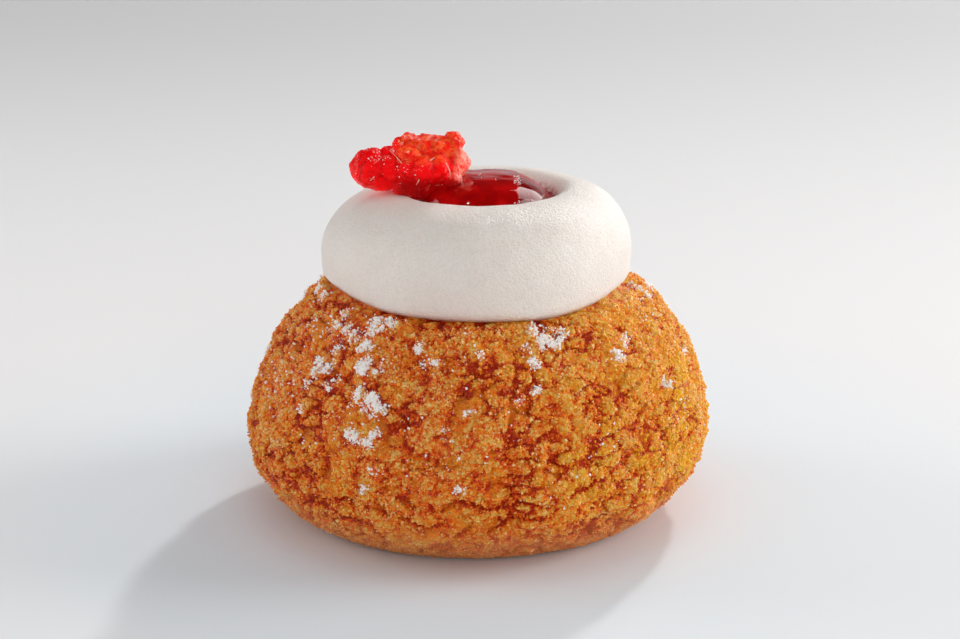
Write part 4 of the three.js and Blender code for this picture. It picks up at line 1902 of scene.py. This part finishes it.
    def skins(self, berry: bpy.types.Object) -> bpy.types.Object:
        """Lays the pale strands of skin on the flesh.

        Args:
            berry: the flesh.

        Returns:
            The strands, joined.
        """
        joined = bmesh.new()
        for thickness, points in self.strands:
            curve = bpy.data.curves.new("strand", "CURVE")
            curve.dimensions = "3D"
            curve.bevel_depth = thickness * MM
            curve.bevel_resolution = 2
            curve.use_fill_caps = True
            spline = curve.splines.new("NURBS")
            spline.points.add(len(points) - 1)
            spline.use_endpoint_u = True
            spline.order_u = 3
            for point, (across, up) in zip(spline.points, points):
                start = Vector((across, self.in_front, up)) * MM
                found, place, normal, _ = berry.ray_cast(start, Vector((0, 1, 0)))
                point.co = (*(place - normal * self.strand_sink * thickness * MM if found else start), 1)
                point.radius = self.strand_least + (1 - self.strand_least) * (across % 1)
            draft = bpy.data.objects.new("strand", curve)
            mesh = bpy.data.meshes.new_from_object(draft)
            joined.from_mesh(mesh)
            bpy.data.objects.remove(draft)
        bmesh.ops.scale(joined, vec=(1 / MM, 1 / MM, 1 / MM), verts=joined.verts)
        return as_object("raspberry_skins", joined)

    def build(self) -> bpy.types.Object:
        """Builds and dresses the raspberry.

        Returns:
            The raspberry.
        """
        berry = self.body()
        bpy.context.view_layer.update()
        put_on(self.skins(berry), SkinFinish(), Slot.RASPBERRY)
        return put_on(berry, BerryFinish(), Slot.RASPBERRY, Part.RASPBERRY)


@dataclass
class Frost:
    """Fine powdered sugar on the raspberry, and white sugar grains along the jam's crease that also stand in
    for its sparkle as painted highlights.
    """

    # on the raspberry: how many, where it stays bare, how far up a place must face, and most on the left
    on_berry: int = 560
    bare_berry: Spots = Spots(1.9, 0.1, 0.7, Draw.BARE_BERRY)
    least_berry: float = 0.03
    facing_up: Range = (-0.5, 0.7)
    left: Range = (-9, -15)
    least_left: float = 0.1
    # on the jam, grains that also stand in for painted highlights: how many, how near its crease, how high
    # and how far back they lie, and where it stays bare
    on_jam: int = 70
    crease_reach: float = 0.6
    off_crease: float = 0.006
    jam_up: Range = (55.5, 56.5)
    jam_back: Range = (1.5, 0)
    bare_jam: Spots = Spots(1.4, -0.3, 0.5, Draw.BARE_JAM)
    # how high they lie and how far they wander, their widths, and how much wider they are on the jam
    berry_lift: float = 0.05
    jam_lift: float = 0.06
    wander: float = 0.16
    smallest: float = 0.06
    widening: float = 0.2
    smallness: int = 4
    jam_width: float = 1.7
    lengths: Range = (0.7, 1.4)
    seed: int = 77

    def build(self, berry: bpy.types.Object, jam: bpy.types.Object, crease_at: float) -> None:
        """Builds and dresses the frost.

        Args:
            berry: the raspberry's flesh.
            jam: the jam.
            crease_at: how far right the jam's crease lies.
        """
        rng = np.random.default_rng(self.seed)
        places = read_places(berry.data)
        normals = read_normals(berry.data)
        bare = self.least_berry + self.bare_berry.at(places)
        left = self.least_left + (1 - self.least_left) * ease(places[:, 0], *self.left)
        weight = ease(normals[:, 2], *self.facing_up) * bare * left
        chosen = rng.choice(len(places), self.on_berry, replace=False, p=weight / weight.sum())
        centres = [places[chosen] + normals[chosen] * self.berry_lift]
        places = read_places(jam.data)
        beside = np.exp(-(((places[:, 0] - crease_at) / self.crease_reach) ** 2)) + self.off_crease
        weight = beside * ease(places[:, 2], *self.jam_up) * ease(places[:, 1], *self.jam_back)
        weight *= self.bare_jam.at(places)
        chosen = rng.choice(len(places), self.on_jam, replace=False, p=weight / weight.sum())
        centres.append(places[chosen] + read_normals(jam.data)[chosen] * self.jam_lift)
        centre = np.concatenate(centres)
        centre += rng.uniform(-self.wander, self.wander, centre.shape)
        width = self.smallest + self.widening * rng.random(len(centre)) ** self.smallness
        width[self.on_berry:] *= self.jam_width
        sizes = width[:, None] * rng.uniform(*self.lengths, (len(centre), 3))
        frost = joined_copies("sugar_frost", grain_pattern(), centre, sizes, {}, self.seed)
        put_on(frost, PowderFinish(), Slot.POWDERED_SUGAR)


# ---------------------------------------------------------------- the studio


@dataclass(frozen=True)
class Lamp:
    """A soft lamp that faces the bun: its direction in degrees, clockwise from straight behind the bun, and
    above the floor, its distance and width in metres, its power in watts, and whether it is mirrored in what
    shines and lights what doesn't."""

    name: str
    azimuth: float
    elevation: float
    distance: float
    size: float
    power: float
    colour: tuple[float, float, float] = (1, 0.99, 0.975)
    reflected: bool = True
    lights: bool = True


@dataclass
class Studio:
    """The floor, the lights and the camera."""

    # the camera's distance from its target, and the target's height and place to the right, in millimetres
    camera_distance: float = 464.0
    camera_elevation: float = math.radians(16.5)
    camera_target: float = 33.1
    camera_side: float = 0.47
    lens: float = 100.2
    sensor: float = 36.0
    clip_start: float = 0.02
    clip_end: float = 20.0
    floor_half: float = 3000.0
    surroundings: float = 0.37
    room: Colour = (0.97, 0.98, 1, 1)
    # how bright the room is where it is mirrored, by how far up or down it lies, from level at 0 to 1
    mirrored: Fade = Fade(0.1, 0.3, 0.5, 0.02)
    lamps: Sequence[Lamp] = (
        Lamp("key", 23.5, 30, 1.6, 0.12, 8.8, reflected=False),
        Lamp("painted_glint", 17, 30, 1.6, 0.05, 5, lights=False),
        Lamp("right", 82, 19, 1.2, 0.7, 6.9),
        Lamp("left", -75, 14, 1.2, 0.7, 3.5),
        Lamp("front", 170, 18, 1.5, 0.9, 4.6, reflected=False),
        Lamp("left sparkle", -140, 48, 1.5, 0.1, 6, lights=False),
        Lamp("right sparkle", 150, 40, 1.5, 0.06, 2.5, lights=False),
        Lamp("window", 50, 30, 1.2, 1.0, 14, lights=False),
        Lamp("above", 0, 88, 1.5, 0.8, 1.3, reflected=False),
    )

    def camera(self) -> None:
        """Places the camera as the photograph's."""
        data = bpy.data.cameras.new("camera")
        data.lens = self.lens
        data.sensor_width = self.sensor
        data.clip_start = self.clip_start
        data.clip_end = self.clip_end
        made = bpy.data.objects.new("camera", data)
        away = Vector((0, -math.cos(self.camera_elevation), math.sin(self.camera_elevation)))
        target = Vector((self.camera_side, 0, self.camera_target)) * MM
        made.location = target + away * self.camera_distance * MM
        made.rotation_euler = (math.pi / 2 - self.camera_elevation, 0, 0)
        bpy.context.scene.collection.objects.link(made)
        bpy.context.scene.camera = made

    def floor(self) -> None:
        """Lays the floor."""
        shape = bmesh.new()
        bmesh.ops.create_grid(shape, x_segments=4, y_segments=4, size=self.floor_half)
        floor = as_object("floor", shape)
        floor.data.materials.append(FloorFinish().material())
        floor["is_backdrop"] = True

    def light(self, lamp: Lamp) -> None:
        """Hangs a lamp.

        Args:
            lamp: the lamp.
        """
        data = bpy.data.lights.new(lamp.name, "AREA")
        data.shape = "DISK" if lamp.lights else "SQUARE"
        data.size = lamp.size
        data.energy = lamp.power
        data.color = lamp.colour
        made = bpy.data.objects.new(lamp.name, data)
        made.visible_glossy = lamp.reflected
        made.visible_diffuse = lamp.lights
        made.visible_transmission = lamp.lights
        made.visible_volume_scatter = lamp.lights
        turn = math.radians(lamp.azimuth)
        rise = math.radians(lamp.elevation)
        away = Vector((math.sin(turn) * math.cos(rise), math.cos(turn) * math.cos(rise), math.sin(rise)))
        made.location = Vector((0, 0, self.camera_target * MM)) + away * lamp.distance
        made.rotation_euler = away.to_track_quat("Z", "Y").to_euler()
        bpy.context.scene.collection.objects.link(made)

    def world(self) -> None:
        """Surrounds everything with the room, darker overhead and underfoot where it is mirrored."""
        world = bpy.data.worlds.new("studio")
        world.use_nodes = True
        nodes = world.node_tree.nodes
        link = world.node_tree.links.new
        back = nodes["Background"]
        back.inputs["Color"].default_value = self.room
        path = nodes.new("ShaderNodeLightPath")
        way = nodes.new("ShaderNodeNewGeometry")
        axes = nodes.new("ShaderNodeSeparateXYZ")
        rise = nodes.new("ShaderNodeMath")
        rise.operation = "ABSOLUTE"
        fade = nodes.new("ShaderNodeMapRange")
        for key, value in zip(("From Min", "From Max", "To Min", "To Max"), astuple(self.mirrored)):
            fade.inputs[key].default_value = value
        choice = nodes.new("ShaderNodeMix")
        choice.inputs[2].default_value = self.surroundings
        link(way.outputs["Incoming"], axes.inputs[0])
        link(axes.outputs["Z"], rise.inputs[0])
        link(rise.outputs[0], fade.inputs["Value"])
        link(path.outputs["Is Glossy Ray"], choice.inputs[0])
        link(fade.outputs["Result"], choice.inputs[3])
        link(choice.outputs[0], back.inputs["Strength"])
        bpy.context.scene.world = world

    def build(self) -> None:
        """Sets the studio up."""
        self.camera()
        self.floor()
        for lamp in self.lamps:
            self.light(lamp)
        self.world()
        bpy.context.scene.view_settings.view_transform = "Standard"


def corners(box: tuple[Vector, Vector]) -> list[list[float]]:
    """Turns a box's two corners into plain lists."""
    return [list(map(float, corner)) for corner in box]


def main() -> None:
    """Builds the choux bun and its studio."""
    logging.basicConfig(level=logging.INFO, format="%(name)s: %(message)s")
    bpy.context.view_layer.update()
    Studio().build()
    bun = Bun()
    sugar = PowderedSugar()
    crust = bun.build(sugar)
    log.info("crust and grains built")
    sugar.build(bun, crust)
    log.info("powdered sugar built")
    ring = CreamRing()
    ring.build(bun)
    log.info("cream ring built")
    jam = Jam()
    filling = jam.build(bun, ring)
    log.info("jam built")
    berry = Raspberry().build()
    log.info("raspberry built")
    Frost().build(berry, filling, jam.crease_at)
    log.info("frost built")
    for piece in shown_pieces():
        log.info("%s: %d triangles", piece.name, sum(len(f.vertices) - 2 for f in piece.data.polygons))


if __name__ == "__main__":
    main()
